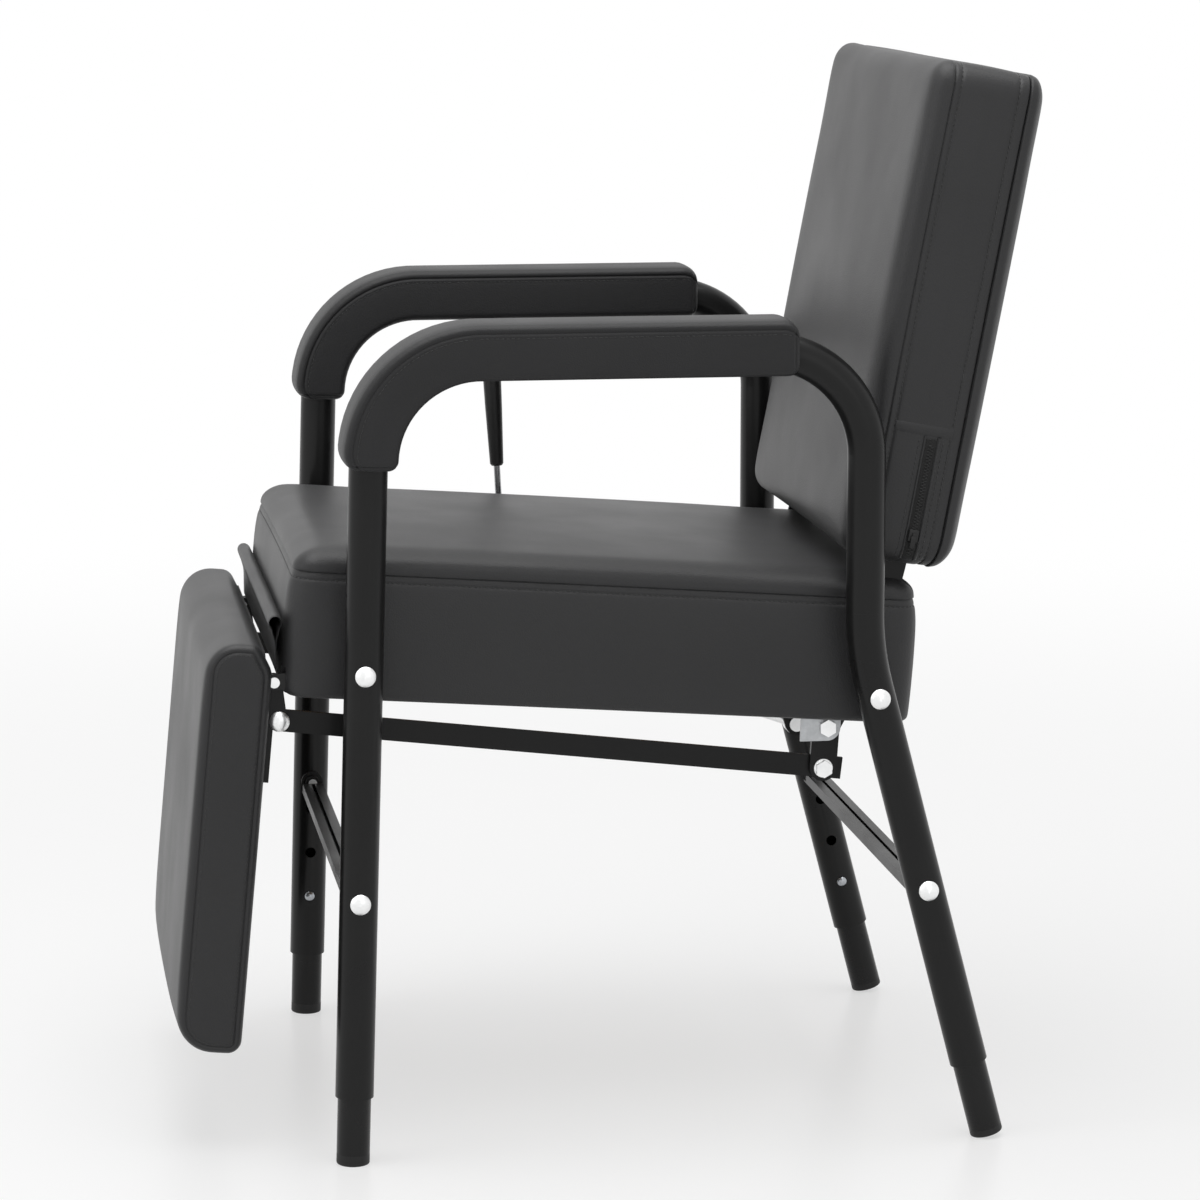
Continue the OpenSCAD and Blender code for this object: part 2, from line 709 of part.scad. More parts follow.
// The side view of the seat's slot for a back arm, open to the rear
module arm_slot() {
    polygon([pivot_p - [slot_front, back_arm_w], pivot_p - [slot_front, -back_arm_w / 2],
        knee_p - [slot_front + slot_play / 2, 0], arm_low_p - [slot_front, 0],
        arm_low_p + [0, seat_h] - [slot_front, 0], [rear_open, arm_low_p.y + seat_h],
        [rear_open, pivot_z - back_arm_w]]);
}

module seat_cushion() {
    color("#3a3a3a") difference() {
        on_seat() ring_form(seat_w, seat_len, seat_corner, cushion_rings(seat_w, seat_h, seat_hollow,
            rim_wall, draw, seat_roll_w, seat_roll_h, seat_crown));
        sides() {
            plate_x(arm_inner_x - slot_side, arm_outer_x + slot_side) arm_slot();
            for (p = [front_bolt_p, rear_bolt_p]) bar_x(p, spacer_d + 2 * gap, rail_outer_x - cut, seat_w);
            on_seat() translate([link_outer_x - gap, -seat_len, -cut])
                cube([rail_inner_x - link_outer_x + 2 * gap, seat_len / 2 + ear_notch_h, ear_notch_h]);
        }
    }
}

ear_notch_h = 20;
ear_r = 6.8;
boss_r = 11.5;
rail_front_u = seat_corner + gap - seat_len / 2;
rail_rear_u = -rail_front_u;

module seat_rail() {
    difference() {
        on_seat() translate([rail_inner_x, rail_front_u, rail_lift])
            cube([rail_t, rail_rear_u - rail_front_u, rail_h]);
        bar_x(front_bolt_p, bolt_d, rail_inner_x - cut, rail_outer_x + cut);
        bar_x(rear_bolt_p, bolt_d, rail_inner_x - cut, rail_outer_x + cut);
    }
}

module seat_rail_left() {
    color("#202020") seat_rail();
}

module seat_rail_right() {
    color("#202020") mirror([1, 0, 0]) seat_rail();
}

screw_x = 100;

// A board's outline with rounded corners, from [x0, y0] to [x1, y1]
module board_shape(a, b, r) {
    translate([a.x + r, a.y]) square([b.x - a.x - 2 * r, b.y - a.y]);
    translate([a.x, a.y + r]) square([b.x - a.x, b.y - a.y - 2 * r]);
    for (x = [a.x + r, b.x - r])
        for (y = [a.y + r, b.y - r])
            translate([x, y]) circle(r);
}

// A square tube between the rails, drilled for the board's screws
module cross_rail(u) {
    on_seat() difference() {
        translate([-rail_inner_x, u - cross_w / 2, board_low - cross_w]) cube([2 * rail_inner_x, cross_w, cross_w]);
        translate([-rail_inner_x - cut, u - cross_w / 2 + cross_wall, board_low - cross_w + cross_wall])
            cube([2 * rail_inner_x + 2 * cut, cross_w - 2 * cross_wall, cross_w - 2 * cross_wall]);
        for (x = [-screw_x, screw_x])
            translate([x, u, board_low - cross_w - cut]) cylinder(h = cross_w + 2 * cut, d = screw_d);
    }
}

module front_cross_rail() {
    color("#202020") cross_rail(front_rail_u);
}

module middle_cross_rail() {
    color("#202020") cross_rail(middle_rail_u);
}

module seat_board_screws() {
    screw_depth = board_t * 0.6;
    color("#b0b0b0") on_seat()
        for (u = [front_rail_u, middle_rail_u])
            for (x = [-screw_x, screw_x]) {
                translate([x, u, board_low - cross_w]) cylinder(h = cross_w + screw_depth, d = screw_d);
                translate([x, u, board_low - cross_w - screw_head_h]) cylinder(h = screw_head_h, d = screw_head_d);
            }
}

board_half_l = seat_len / 2 - rim_wall - draw;
board_rear_u = knee_p.x - slot_front - slot_play - seat_y - board_t;

// The seat's board, notched behind for the back arms
module seat_board() {
    half = rail_outer_x;
    screw_depth = board_t * 0.6;
    color("#b58c5a") on_seat() difference() {
        translate([0, 0, board_low]) linear_extrude(board_t)
            board_shape([-half, -board_half_l], [half, board_half_l], seat_corner);
        sides() translate([link_inner_x, board_rear_u, board_low - cut])
            cube([half, rail_rear_u, board_t + 2 * cut]);
        for (u = [front_rail_u, middle_rail_u])
            for (x = [-screw_x, screw_x])
                translate([x, u, board_low - cut]) cylinder(h = screw_depth + cut, d = screw_d);
    }
}

// A plate on the rail's inner face that hangs down to the back pivot
module pivot_bracket() {
    difference() {
        plate_x(plate_x, rail_inner_x) union() {
            translate(pivot_p) circle(boss_r);
            polygon([[pivot_y - 2 * boss_r, pivot_z - boss_r], [pivot_y, pivot_z - boss_r],
                [pivot_y + boss_r, pivot_z], seat_point(pivot_y + boss_r - seat_y, rail_lift + rail_h * 0.8),
                seat_point(pivot_y - 2 * boss_r - seat_y, rail_lift + rail_h * 0.8)]);
        }
        bar_x(pivot_p, bolt_d + 2 * pivot_fit, plate_x - cut, rail_inner_x + cut);
    }
}

module pivot_bracket_left() {
    color("#d0d0d0") pivot_bracket();
}

module pivot_bracket_right() {
    color("#d0d0d0") mirror([1, 0, 0]) pivot_bracket();
}

// A plate on the rail's inner face that reaches forward to the legrest hinge
module hinge_ear() {
    difference() {
        plate_x(plate_x, rail_inner_x) union() {
            translate(hinge_p) circle(ear_r - ease);
            strip(hinge_p, seat_point(rail_front_u + ear_r, rail_lift), 2 * ear_r);
            strip(seat_point(rail_front_u, rail_lift + ear_r), seat_point(rail_front_u + 4 * ear_r, rail_lift + ear_r),
                2 * ear_r);
        }
        bar_x(hinge_p, hinge_pin_d + 2 * pivot_fit, plate_x - cut, rail_inner_x + cut);
    }
}

module hinge_ear_left() {
    color("#1e1e1e") hinge_ear();
}

module hinge_ear_right() {
    color("#1e1e1e") mirror([1, 0, 0]) hinge_ear();
}

head_h = hex_h;
lock_dir = [-cos(lock_angle), sin(lock_angle)];
lock_up = [sin(lock_angle), cos(lock_angle)];
bracket_x = lock_d / 2 + gap;
finger_reach = (lever_p - trunnion_p) * lock_dir;

// Two plates behind the middle cross rail for the lock's trunnions and the lever shaft
module lock_bracket() {
    root_u = middle_rail_u + cross_w / 2;
    root_high = seat_point(root_u, board_low - cross_w / 2);
    root_low = seat_point(root_u, board_low - cross_w * 0.8);
    color("#202020") sides() difference() {
        plate_x(bracket_x, bracket_x + plate_t) difference() {
            union() {
                strip(root_high, trunnion_p, 2 * ear_r);
                strip(root_low, lever_p, 2 * ear_r);
                translate(trunnion_p) circle(ear_r - ease);
                translate(lever_p) circle(ear_r - ease);
            }
            translate([-cross_w, 0]) translate(seat_point(root_u, 0)) rotate(-seat_tilt)
                translate([0, -seat_h]) square([cross_w, 2 * seat_h]);
        }
        bar_x(trunnion_p, lock_pin_d + 2 * pivot_fit, bracket_x - cut, bracket_x + plate_t + cut);
        bar_x(lever_p, bolt_d + 2 * pivot_fit, bracket_x - cut, bracket_x + plate_t + cut);
    }
}

// A plate on the right rail's inner face that holds the outer end of the lever shaft
module lever_bearings() {
    color("#202020") mirror([1, 0, 0]) difference() {
        plate_x(plate_x, rail_inner_x) union() {
            translate(lever_p) circle(ear_r - ease);
            strip(lever_p, seat_point(lever_y - seat_y, rail_lift + rail_h * 0.7), 2 * ear_r);
        }
        bar_x(lever_p, bolt_d + 2 * pivot_fit, plate_x - cut, rail_inner_x + cut);
    }
}

// Moves children from the lock's own frame, +Z from the trunnion to the lock pin
module on_lock() {
    translate([0, trunnion_y, trunnion_z]) rotate([-90 - lock_angle, 0, 0]) children();
}

lock_nose = lock_pin_d;
lock_reach = norm(lock_p - trunnion_p);
pin_bore_l = 14;
gland_t = 8;

module lock_cylinder() {
    color("#303030") difference() {
        union() {
            on_lock() translate([0, 0, -lock_nose]) cylinder(h = lock_len + lock_nose, d = lock_d);
            bar_x(trunnion_p, lock_pin_d, -bracket_x - plate_t, bracket_x + plate_t);
        }
        on_lock() {
            translate([0, 0, -lock_nose - cut]) cylinder(h = lock_nose + pin_bore_l + 2 * cut, d = release_d + 2 * pivot_fit);
            translate([0, 0, pin_bore_l]) cylinder(h = lock_len - pin_bore_l - gland_t, d = lock_bore);
            translate([0, 0, lock_len / 2]) cylinder(h = lock_len, d = rod_d + 2 * pivot_fit);
        }
    }
}

rod_inside = 40;
eye_t = 13;
eye_wall = 5;

module lock_rod() {
    piston_r = lock_bore / 2 - pivot_fit;
    eye_r = lock_pin_d / 2 + lock_play + eye_wall;
    color("#e0e0e0") difference() {
        union() {
            on_lock() translate([0, 0, lock_len - rod_inside])
                cylinder(h = lock_reach - lock_len + rod_inside - eye_r + eye_wall / 2, d = rod_d);
            on_lock() translate([0, 0, lock_len - rod_inside]) cylinder(h = gland_t, r = piston_r);
            bar_x(lock_p, 2 * eye_r, -eye_t / 2, eye_t / 2);
        }
        bar_x(lock_p, lock_pin_d + 2 * lock_play, -eye_t, eye_t);
    }
}

pin_front = (lever_p - trunnion_p) * lock_dir - finger_t / 2 - gap - side_play / 2;

module release_pin() {
    color("#d8d8d8") on_lock() translate([0, 0, -pin_front]) cylinder(h = pin_front + gap, d = release_d);
}

shaft_end = bracket_x + plate_t + side_play;

// The lever's rod, its cross shaft and the finger that presses the release pin
module lever() {
    lean_dir = [-sin(lever_lean), cos(lever_lean)];
    color("#e6e6e6") union() {
        bar_x(lever_p, bolt_d, -lever_x, shaft_end);
        translate([-lever_x, lever_y, lever_z]) sphere(bolt_d / 2);
        translate([-lever_x, lever_y, lever_z]) rotate([lever_lean, 0, 0]) cylinder(h = grip_from + grip_in, d = lever_d);
        plate_x(-eye_t / 2, eye_t / 2) strip(lever_p, lever_p + finger_len * lock_up, finger_t);
    }
}

grip_in = 60;

// A moulded grip that swells towards its top
module lever_grip() {
    length = grip_to - grip_from;
    low_r = grip_low_d / 2;
    top_r = grip_top_d / 2;
    wide_at = length * 0.72;
    color("#222222") translate([-lever_x, lever_y, lever_z]) rotate([lever_lean, 0, 0])
        translate([0, 0, grip_from]) difference() {
            rotate_extrude() polygon([[0, 0], [low_r * 0.8, 0], [low_r, low_r * 0.3], [top_r * 0.92, wide_at * 0.6],
                [top_r, wide_at], [top_r * 0.94, length * 0.9], [top_r * 0.7, length * 0.98], [0, length]]);
            translate([0, 0, -cut]) cylinder(h = grip_in + cut, d = lever_d);
        }
}

// The back arm: from the link bolt past the pivot and up into the back
module back_arm() {
    q0 = back_depth - back_board_t - plate_t;
    difference() {
        union() {
            plate_x(arm_inner_x, arm_outer_x) union() {
                strip(link_p, pivot_p, back_arm_w);
                strip(pivot_p, knee_p, back_arm_w);
                strip(knee_p, arm_low_p, back_arm_w);
                strip(arm_low_p, arm_top_p, back_arm_w);
                for (p = [link_p, pivot_p, knee_p, arm_low_p]) translate(p) circle(back_arm_w / 2 - ease);
            }
            on_back() translate([arm_inner_x, arm_depth, flange_from]) cube([back_arm_t, q0 + plate_t - arm_depth, flange_len]);
            on_back() translate([arm_outer_x - flange_w, q0, flange_from]) cube([flange_w, plate_t, flange_len]);
        }
        bar_x(link_p, bolt_d, arm_inner_x - cut, arm_outer_x + cut);
        bar_x(pivot_p, bolt_d, arm_inner_x - cut, arm_outer_x + cut);
        for (v = [0.2, 0.8]) on_back() translate([arm_inner_x - flange_w / 3, q0 - cut, flange_from + v * flange_len])
            rotate([-90, 0, 0]) cylinder(h = 3 * cut + plate_t, d = screw_d);
    }
}

module back_arm_left() {
    color("#1e1e1e") back_arm();
}

module back_arm_right() {
    color("#1e1e1e") mirror([1, 0, 0]) back_arm();
}

thread_l = 20;

module back_shaft() {
    color("#242424") difference() {
        bar_x(pivot_p, shaft_d, -arm_inner_x, arm_inner_x);
        sides() bar_x(pivot_p, bolt_d, arm_inner_x - thread_l, arm_inner_x + cut);
    }
}

// A hexagon bar along +X, with a point of the hexagon up
module hex_x(p, af, x0, x1) {
    translate([x0, p.x, p.y]) rotate([0, 90, 0]) cylinder(h = x1 - x0, d = af / cos(30), $fn = 6);
}

module pivot_bolts() {
    head_x = rail_inner_x + gap;
    color("#e8e8e8") sides() {
        bar_x(pivot_p, bolt_d, arm_inner_x - thread_l, head_x + gap);
        hex_x(pivot_p, hex_af, head_x, head_x + hex_h);
    }
}

crank_t = 4;
crank_x = eye_t / 2 + side_play;

module link_bolts() {
    color("#e8e8e8") {
        sides() {
            bar_x(link_p, bolt_d, link_inner_x - gap - hex_h, arm_outer_x + flange_t);
            bar_x(link_p, flange_d, arm_outer_x, arm_outer_x + flange_t);
            hex_x(link_p, hex_af, arm_outer_x + flange_t / 2, arm_outer_x + flange_t + hex_h);
            hex_x(link_p, hex_af, link_inner_x - gap - hex_h, link_inner_x - gap);
        }
        bar_x(lock_p, lock_pin_d, -crank_x - crank_t - gap, crank_x + crank_t + gap);
        sides() bar_x(lock_p, hex_af, crank_x + crank_t, crank_x + crank_t + flange_t);
    }
}

// Two plates welded on the shaft that hold the lock pin
module lock_crank() {
    color("#242424") sides() difference() {
        plate_x(crank_x, crank_x + crank_t) union() {
            strip(pivot_p, lock_p, shaft_d + crank_t);
            translate(lock_p) circle((shaft_d + crank_t) / 2 - ease);
            translate(pivot_p) circle(boss_r);
        }
        bar_x(pivot_p, shaft_d, crank_x - cut, crank_x + crank_t + cut);
        bar_x(lock_p, lock_pin_d, crank_x - cut, crank_x + crank_t + cut);
    }
}

back_hollow = back_board_t + gap;

module back_board() {
    half = back_w / 2 - rim_wall - gap;
    edge = rim_wall + gap;
    color("#b58c5a") on_back() difference() {
        translate([0, back_depth, 0]) rotate([90, 0, 0]) linear_extrude(back_board_t)
            board_shape([-half, edge], [half, back_len - edge], back_corner);
        sides() for (v = [0.2, 0.8])
            translate([arm_inner_x - flange_w / 3, back_depth - back_board_t - cut, flange_from + v * flange_len])
                rotate([-90, 0, 0]) cylinder(h = cut + screw_bite, d = screw_d);
    }
}

screw_bite = 8;

module back_board_bolts() {
    q0 = back_depth - back_board_t - plate_t;
    color("#b0b0b0") on_back() sides() for (v = [0.2, 0.8])
        translate([arm_inner_x - flange_w / 3, q0, flange_from + v * flange_len]) rotate([-90, 0, 0]) {
            cylinder(h = plate_t + screw_bite, d = screw_d);
            translate([0, 0, -screw_head_h]) cylinder(h = screw_head_h, d = screw_head_d);
        }
}

// Turns a form that is built upwards so that its top faces forward in a tilted frame
module facing_front(depth, mid_v) {
    translate([0, depth, mid_v]) rotate([90, 0, 0]) children();
}

module back_cushion() {
    q0 = back_depth - back_board_t;
    color("#3a3a3a") on_back() difference() {
        facing_front(back_depth, back_len / 2) ring_form(back_w, back_len, back_corner,
            cushion_rings(back_w, back_depth, back_hollow, rim_wall, draw, back_roll_w, back_roll_h, back_crown));
        sides() {
            translate([arm_inner_x - slot_side, arm_depth - back_arm_w / 2 - slot_play, -back_len])
                cube([back_arm_t + 2 * slot_side, back_depth, back_len + arm_back_v + slot_play]);
            translate([arm_outer_x - flange_w - slot_side, q0 - plate_t - screw_head_h - slot_play, flange_from - slot_play])
                cube([flange_w + slot_side, back_board_t, flange_len + 2 * slot_play]);
        }
    }
}

// The padded panel behind the back board
module back_rear_pad() {
    inset = rim_wall / 2;
    color("#333333") on_back() translate([0, back_depth + gap, back_len / 2]) rotate([-90, 0, 0])
        ring_form(back_w - 2 * inset, back_len - 2 * inset, back_corner - inset, [[inset, 0, 0], [draw / 2, 0, 0],
            [0, rear_bulge * 0.15, 0], [draw * 0.6, rear_bulge * 0.4, 0], [draw * 2, rear_bulge * 0.55, 0],
            [draw * 8, rear_bulge * 0.6, rear_bulge * 0.4], [draw * 24, rear_bulge * 0.6, rear_bulge * 0.4]]);
}

zip_q = 40;
zip_low = 3;

module back_zips() {
    color("#111111") on_back() sides() translate([back_w / 2 + gap / 6, zip_q - zip_w / 2, zip_low])
        cube([zip_t, zip_w, zip_top - zip_low]);
}

// A link bar from the back's crank to the legrest, with an open hole at its front pin
module link_bar() {
    rear_end = link_p + 1.85 * link_h / 2 * [cos(link_angle), -sin(link_angle)];
    difference() {
        plate_x(link_inner_x, link_outer_x) union() {
            strip(pin_p, rear_end, link_h);
            translate(pin_p) circle(link_h / 2 - ease);
        }
        bar_x(link_p, bolt_d + 2 * pivot_fit, link_inner_x - cut, link_outer_x + cut);
        bar_x(pin_p, bolt_d + 2 * open_play, link_inner_x - cut, link_outer_x + cut);
    }
}

module link_bar_left() {
    color("#242424") link_bar();
}

module link_bar_right() {
    color("#242424") mirror([1, 0, 0]) link_bar();
}

// The legrest's bracket: a plate at the hinge and the link pin, with a flange on the board
module legrest_bracket() {
    difference() {
        union() {
            plate_x(arm_inner_x, arm_outer_x) union() {
                strip(hinge_p, pin_p, 2 * ear_r);
                translate(hinge_p) circle(ear_r - ease);
                translate(pin_p) circle(ear_r + 1);
            }
            on_legrest() translate([arm_inner_x, 0, -leg_flange_from - leg_flange_len])
                cube([back_arm_t, ear_r + plate_t, leg_flange_len]);
            on_legrest() translate([arm_outer_x - flange_w, 0, -leg_flange_from - leg_flange_len])
                cube([flange_w, plate_t, leg_flange_len]);
        }
        bar_x(hinge_p, hinge_pin_d, arm_inner_x - cut, arm_outer_x + cut);
        bar_x(pin_p, bolt_d, arm_inner_x - cut, arm_outer_x + cut);
        for (v = [0.25, 0.75]) on_legrest() translate([arm_inner_x - flange_w / 3, -cut, -leg_flange_from - v * leg_flange_len])
            rotate([-90, 0, 0]) cylinder(h = plate_t + 2 * cut, d = screw_d);
    }
}

module legrest_bracket_left() {
    color("#1e1e1e") legrest_bracket();
}

module legrest_bracket_right() {
    color("#1e1e1e") mirror([1, 0, 0]) legrest_bracket();
}

module hinge_pins() {
    color("#e0e0e0") sides() {
        bar_x(hinge_p, hinge_pin_d, arm_inner_x - flange_t, rail_inner_x + gap + flange_t);
        bar_x(hinge_p, screw_head_d, rail_inner_x + gap, rail_inner_x + gap + screw_head_h);
    }
}

module link_pins() {
    color("#e8e8e8") sides() {
        bar_x(pin_p, bolt_d, link_inner_x - gap - hex_h, arm_outer_x + flange_t);
        hex_x(pin_p, hex_af, link_inner_x - gap - hex_h, link_inner_x - gap);
        domed_x(pin_p, dome_d, arm_outer_x, arm_outer_x + flange_t, dome_h);
    }
}

module legrest_board() {
    half = legrest_w / 2 - rim_wall - gap;
    edge = rim_wall + gap;
    color("#b58c5a") on_legrest() difference() {
        rotate([90, 0, 0]) linear_extrude(legrest_board_t)
            board_shape([-half, edge - legrest_len], [half, -edge], seat_corner);
        sides() for (v = [0.25, 0.75])
            translate([arm_inner_x - flange_w / 3, -screw_bite, -leg_flange_from - v * leg_flange_len])
                rotate([-90, 0, 0]) cylinder(h = screw_bite + cut, d = screw_d);
    }
}

module legrest_screws() {
    color("#b0b0b0") on_legrest() sides() for (v = [0.25, 0.75])
        translate([arm_inner_x - flange_w / 3, -screw_bite, -leg_flange_from - v * leg_flange_len])
            rotate([-90, 0, 0]) {
                cylinder(h = screw_bite + plate_t, d = screw_d);
                translate([0, 0, screw_bite + plate_t]) cylinder(h = screw_head_h, d = screw_head_d);
            }
}

module legrest_cushion() {
    color("#3a3a3a") difference() {
        on_legrest() facing_front(0, -legrest_len / 2) ring_form(legrest_w, legrest_len, seat_corner,
            cushion_rings(legrest_w, legrest_t - legrest_roll_h, legrest_board_t + gap, rim_wall, draw * 0.8,
                legrest_roll_w, legrest_roll_h - legrest_crown / 2, legrest_crown));
        plate_x(-seat_w, seat_w) relief_side();
    }
}

// How far the legrest swings, in degrees, when its upper rear edge is trimmed to pass the seat
relief_swing = 31.2;

// The side view of the seat's front face, turned back to where the legrest meets it at full swing
module relief_side() {
    front_u = -seat_len / 2 - 2 * gap;
    translate(hinge_p) rotate(relief_swing) translate(-hinge_p) polygon([seat_point(front_u, -seat_h / 2),
        seat_point(front_u, seat_h), seat_point(0, seat_h), seat_point(0, -seat_h / 2)]);
}

flap_inside = 5;
flap_half = legrest_w / 2 - flap_inside;
flap_y = seat_point(-seat_len / 2, seat_h / 2).x - gap - flap_d / 2;

// The vinyl loop that closes the gap between the seat and the legrest
module gap_flap() {
    color("#303030") plate_x(-flap_half, flap_half) union() {
        translate([flap_y, flap_z]) circle(flap_d / 2);
        polygon([[flap_y - flap_d / 2, flap_z], [flap_y - flap_t / 2, flap_z - 1.6 * flap_d],
            [flap_y - flap_t / 2, flap_low_z], [flap_y + flap_t / 2, flap_low_z],
            [flap_y + flap_t / 2, flap_z - 1.6 * flap_d], [flap_y + flap_d / 2, flap_z]]);
    }
}

spring_turns = 4;
spring_x = 60;
spring_r = (bolt_d + spring_wire + bolt_d / 5) / 2;
spring_pitch = spring_wire + 0.6;

// A torsion spring wound round the lever shaft, as one unbroken tube
module lever_spring() {
    steps = 8 * spring_turns;
    rings = [for (i = [0:steps]) let (a = 360 * i / 8, x = -spring_x + spring_pitch * i / 8)
        [for (k = [0:5]) let (b = 60 * k, rr = spring_r + spring_wire / 2 * cos(b))
            [x + spring_wire / 2 * sin(b), lever_y + rr * cos(a), lever_z + rr * sin(a)]]];
    faces = concat([for (i = [0:steps - 1]) each strip_faces(i * 6, (i + 1) * 6, 6)],
        [[for (k = [5:-1:0]) k]], [[for (k = [0:5]) steps * 6 + k]]);
    color("#c0c0c0") polyhedron([for (r = rings) each r], faces);
}

// Half profile of an arm pad: the outer skin and the channel for the tube, from the middle outwards
channel_r = tube_r + gap;
pad_half = pad_w / 2;
pad_seam = 8;
pad_roll = 9;
pad_low_round = 3;
function pad_outer(out, in) = [[0, out], [pad_half * 0.4, out - 0.3], [pad_half - pad_roll, out - 1.2],
    [pad_half - pad_roll * 0.3, out - 3.6], [pad_half, out - pad_seam], [pad_half - 1, out - pad_seam - 1.5],
    [pad_half, out - pad_seam - 4], [pad_half, -in * 0.5], [pad_half - 1.5, 2 - in], [pad_half - 6, -in],
    [channel_r + 1, -in]];
function pad_channel(in) = [for (a = [90, 75, 60, 45, 30, 15, 0]) [channel_r * cos(a), channel_r * sin(a)]];
function pad_inner(in) = concat(pad_channel(in), [[channel_r, -in * 0.25], [channel_r, -in * 0.5],
    [channel_r, -in * 0.75], [channel_r, -in]]);
function flipped(list) = [for (i = [len(list) - 1:-1:0]) list[i]];
function mirrored(list) = [for (p = flipped(list)) if (p.x > 0.001) [-p.x, p.y]];
function pad_ring(out, in, t) = let (c = pad_inner(in), full = pad_outer(out, in),
    o = [for (i = [0:len(full) - 1]) (1 - t) * full[i] + t * c[i]])
    concat(o, flipped(c), [for (i = [1:len(c) - 1]) [-c[i].x, c[i].y]], mirrored(o));

// Stations of the pad along the tube: [y, z, outward angle, level share, share drawn in at an end]
front_run = bend_z - pad_front_z;
pad_stations = concat(
    [[pad_rear_y, arm_z, 90, 1, 0.5], [pad_rear_y - pad_low_round, arm_z, 90, 1, 0.16],
    [pad_rear_y - 3 * pad_low_round, arm_z, 90, 1, 0]],
    [for (s = [0.25, 0.5, 0.75]) [pad_rear_y + s * (front_bend_y - pad_rear_y), arm_z, 90, 1, 0]],
    [for (s = [0:0.125:1]) let (a = 90 + s * (90 - front_rake)) [front_bend_y + bend_r * cos(a),
        bend_z + bend_r * sin(a), a, 1 - s, 0]],
    [[front_foot_y + (pad_front_z + pad_low_round) * tan(front_rake), pad_front_z + pad_low_round, 180 - front_rake, 0, 0],
    [front_foot_y + pad_front_z * tan(front_rake), pad_front_z, 180 - front_rake, 0, 0.25]]);

module arm_pad() {
    rings = [for (s = pad_stations) let (out = s[3] * pad_out_level + (1 - s[3]) * pad_out_front,
        in = s[3] * pad_in_level + (1 - s[3]) * pad_in_front)
        [for (p = pad_ring(out, in, s[4])) [leg_x + p.x, s[0] + p.y * cos(s[2]), s[1] + p.y * sin(s[2])]]];
    n = len(rings[0]);
    last = len(rings) - 1;
    half = (n + 2) / 4;
    inner = function (i) (n + 2) / 2 - 1 - i;
    caps = [for (k = [0:half - 2]) each [[k, k + 1, 2 * half - 1 - k], [k + 1, 2 * half - 2 - k, 2 * half - 1 - k]]];
    far = [for (k = [0:half - 2]) let (a = (n - k) % n, b = n - k - 1, c = 2 * half - 1 + k, e = 2 * half + k)
        each [[b, a, c], [b, c, e]]];
    ends = concat(caps, far);
    polyhedron([for (r = rings) each r], concat([for (i = [0:last - 1]) each strip_faces(i * n, (i + 1) * n, n)],
        [for (f = ends) [f[2], f[1], f[0]]], [for (f = ends) [for (v = f) v + last * n]]));
}

module armrest_pad_left() {
    color("#303030") arm_pad();
}

module armrest_pad_right() {
    color("#303030") mirror([1, 0, 0]) arm_pad();
}

side_frame_left();
side_frame_right();
armrest_pad_left();
armrest_pad_right();
front_brace();
rear_brace();
brace_bolts();
seat_rail_left();
seat_rail_right();
front_cross_rail();
middle_cross_rail();
seat_board();
seat_cushion();
seat_bolts();
seat_spacers();
seat_board_screws();
pivot_bracket_left();
pivot_bracket_right();
hinge_ear_left();
hinge_ear_right();
lock_bracket();
lever_bearings();
lever_spring();
gap_flap();
inner_leg_front_left();
inner_leg_front_right();
inner_leg_rear_left();
inner_leg_rear_right();
foot_tip_front_left();
foot_tip_front_right();
foot_tip_rear_left();
foot_tip_rear_right();
snap_spring_front_left();
snap_spring_front_right();
snap_spring_rear_left();
snap_spring_rear_right();
back_arm_left();
back_arm_right();
back_shaft();
pivot_bolts();
link_bolts();
lock_crank();
back_board();
back_board_bolts();
back_cushion();
back_rear_pad();
back_zips();
link_bar_left();
link_bar_right();
legrest_bracket_left();
legrest_bracket_right();
hinge_pins();
link_pins();
legrest_board();
legrest_screws();
legrest_cushion();
lock_cylinder();
lock_rod();
lever();
lever_grip();
release_pin();
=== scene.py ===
"""Looks of a reclining salon chair with padded arms, four telescoping legs and a linked legrest.

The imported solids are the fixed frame. The soft parts are modelled here as sewn and swelled vinyl
covers, the zips, threads and gap flap are added, and every solid that stays gets its finish.
Sizes are in millimetres and are turned to metres where a mesh is placed.
"""

import functools
import logging
import math
from dataclasses import dataclass, field, replace
from enum import Enum
from typing import Callable, Sequence

import bmesh
import bpy
from bmesh.types import BMEdge, BMesh, BMFace, BMVert
from bpy.types import Material, Node, NodeSocket, NodeTree, Object
from mathutils import Matrix, Vector, noise
from mathutils.bvhtree import BVHTree


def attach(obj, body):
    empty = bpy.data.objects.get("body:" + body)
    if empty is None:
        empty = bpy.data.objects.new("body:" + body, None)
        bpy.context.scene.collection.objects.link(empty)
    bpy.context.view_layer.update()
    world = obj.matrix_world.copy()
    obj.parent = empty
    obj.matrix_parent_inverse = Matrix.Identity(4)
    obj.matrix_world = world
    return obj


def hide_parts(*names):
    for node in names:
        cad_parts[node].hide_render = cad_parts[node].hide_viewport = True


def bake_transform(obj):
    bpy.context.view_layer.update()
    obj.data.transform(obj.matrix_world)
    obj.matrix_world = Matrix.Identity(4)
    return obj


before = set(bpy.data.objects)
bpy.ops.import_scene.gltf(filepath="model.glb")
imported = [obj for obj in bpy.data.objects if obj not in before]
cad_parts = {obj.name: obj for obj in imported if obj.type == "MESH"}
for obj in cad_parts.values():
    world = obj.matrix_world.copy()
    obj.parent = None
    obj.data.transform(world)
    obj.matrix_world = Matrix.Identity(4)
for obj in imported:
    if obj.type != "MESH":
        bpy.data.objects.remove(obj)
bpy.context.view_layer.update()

log = logging.getLogger("chair")
MM = 0.001
Point = tuple[float, float]


# ---- Finishes ----

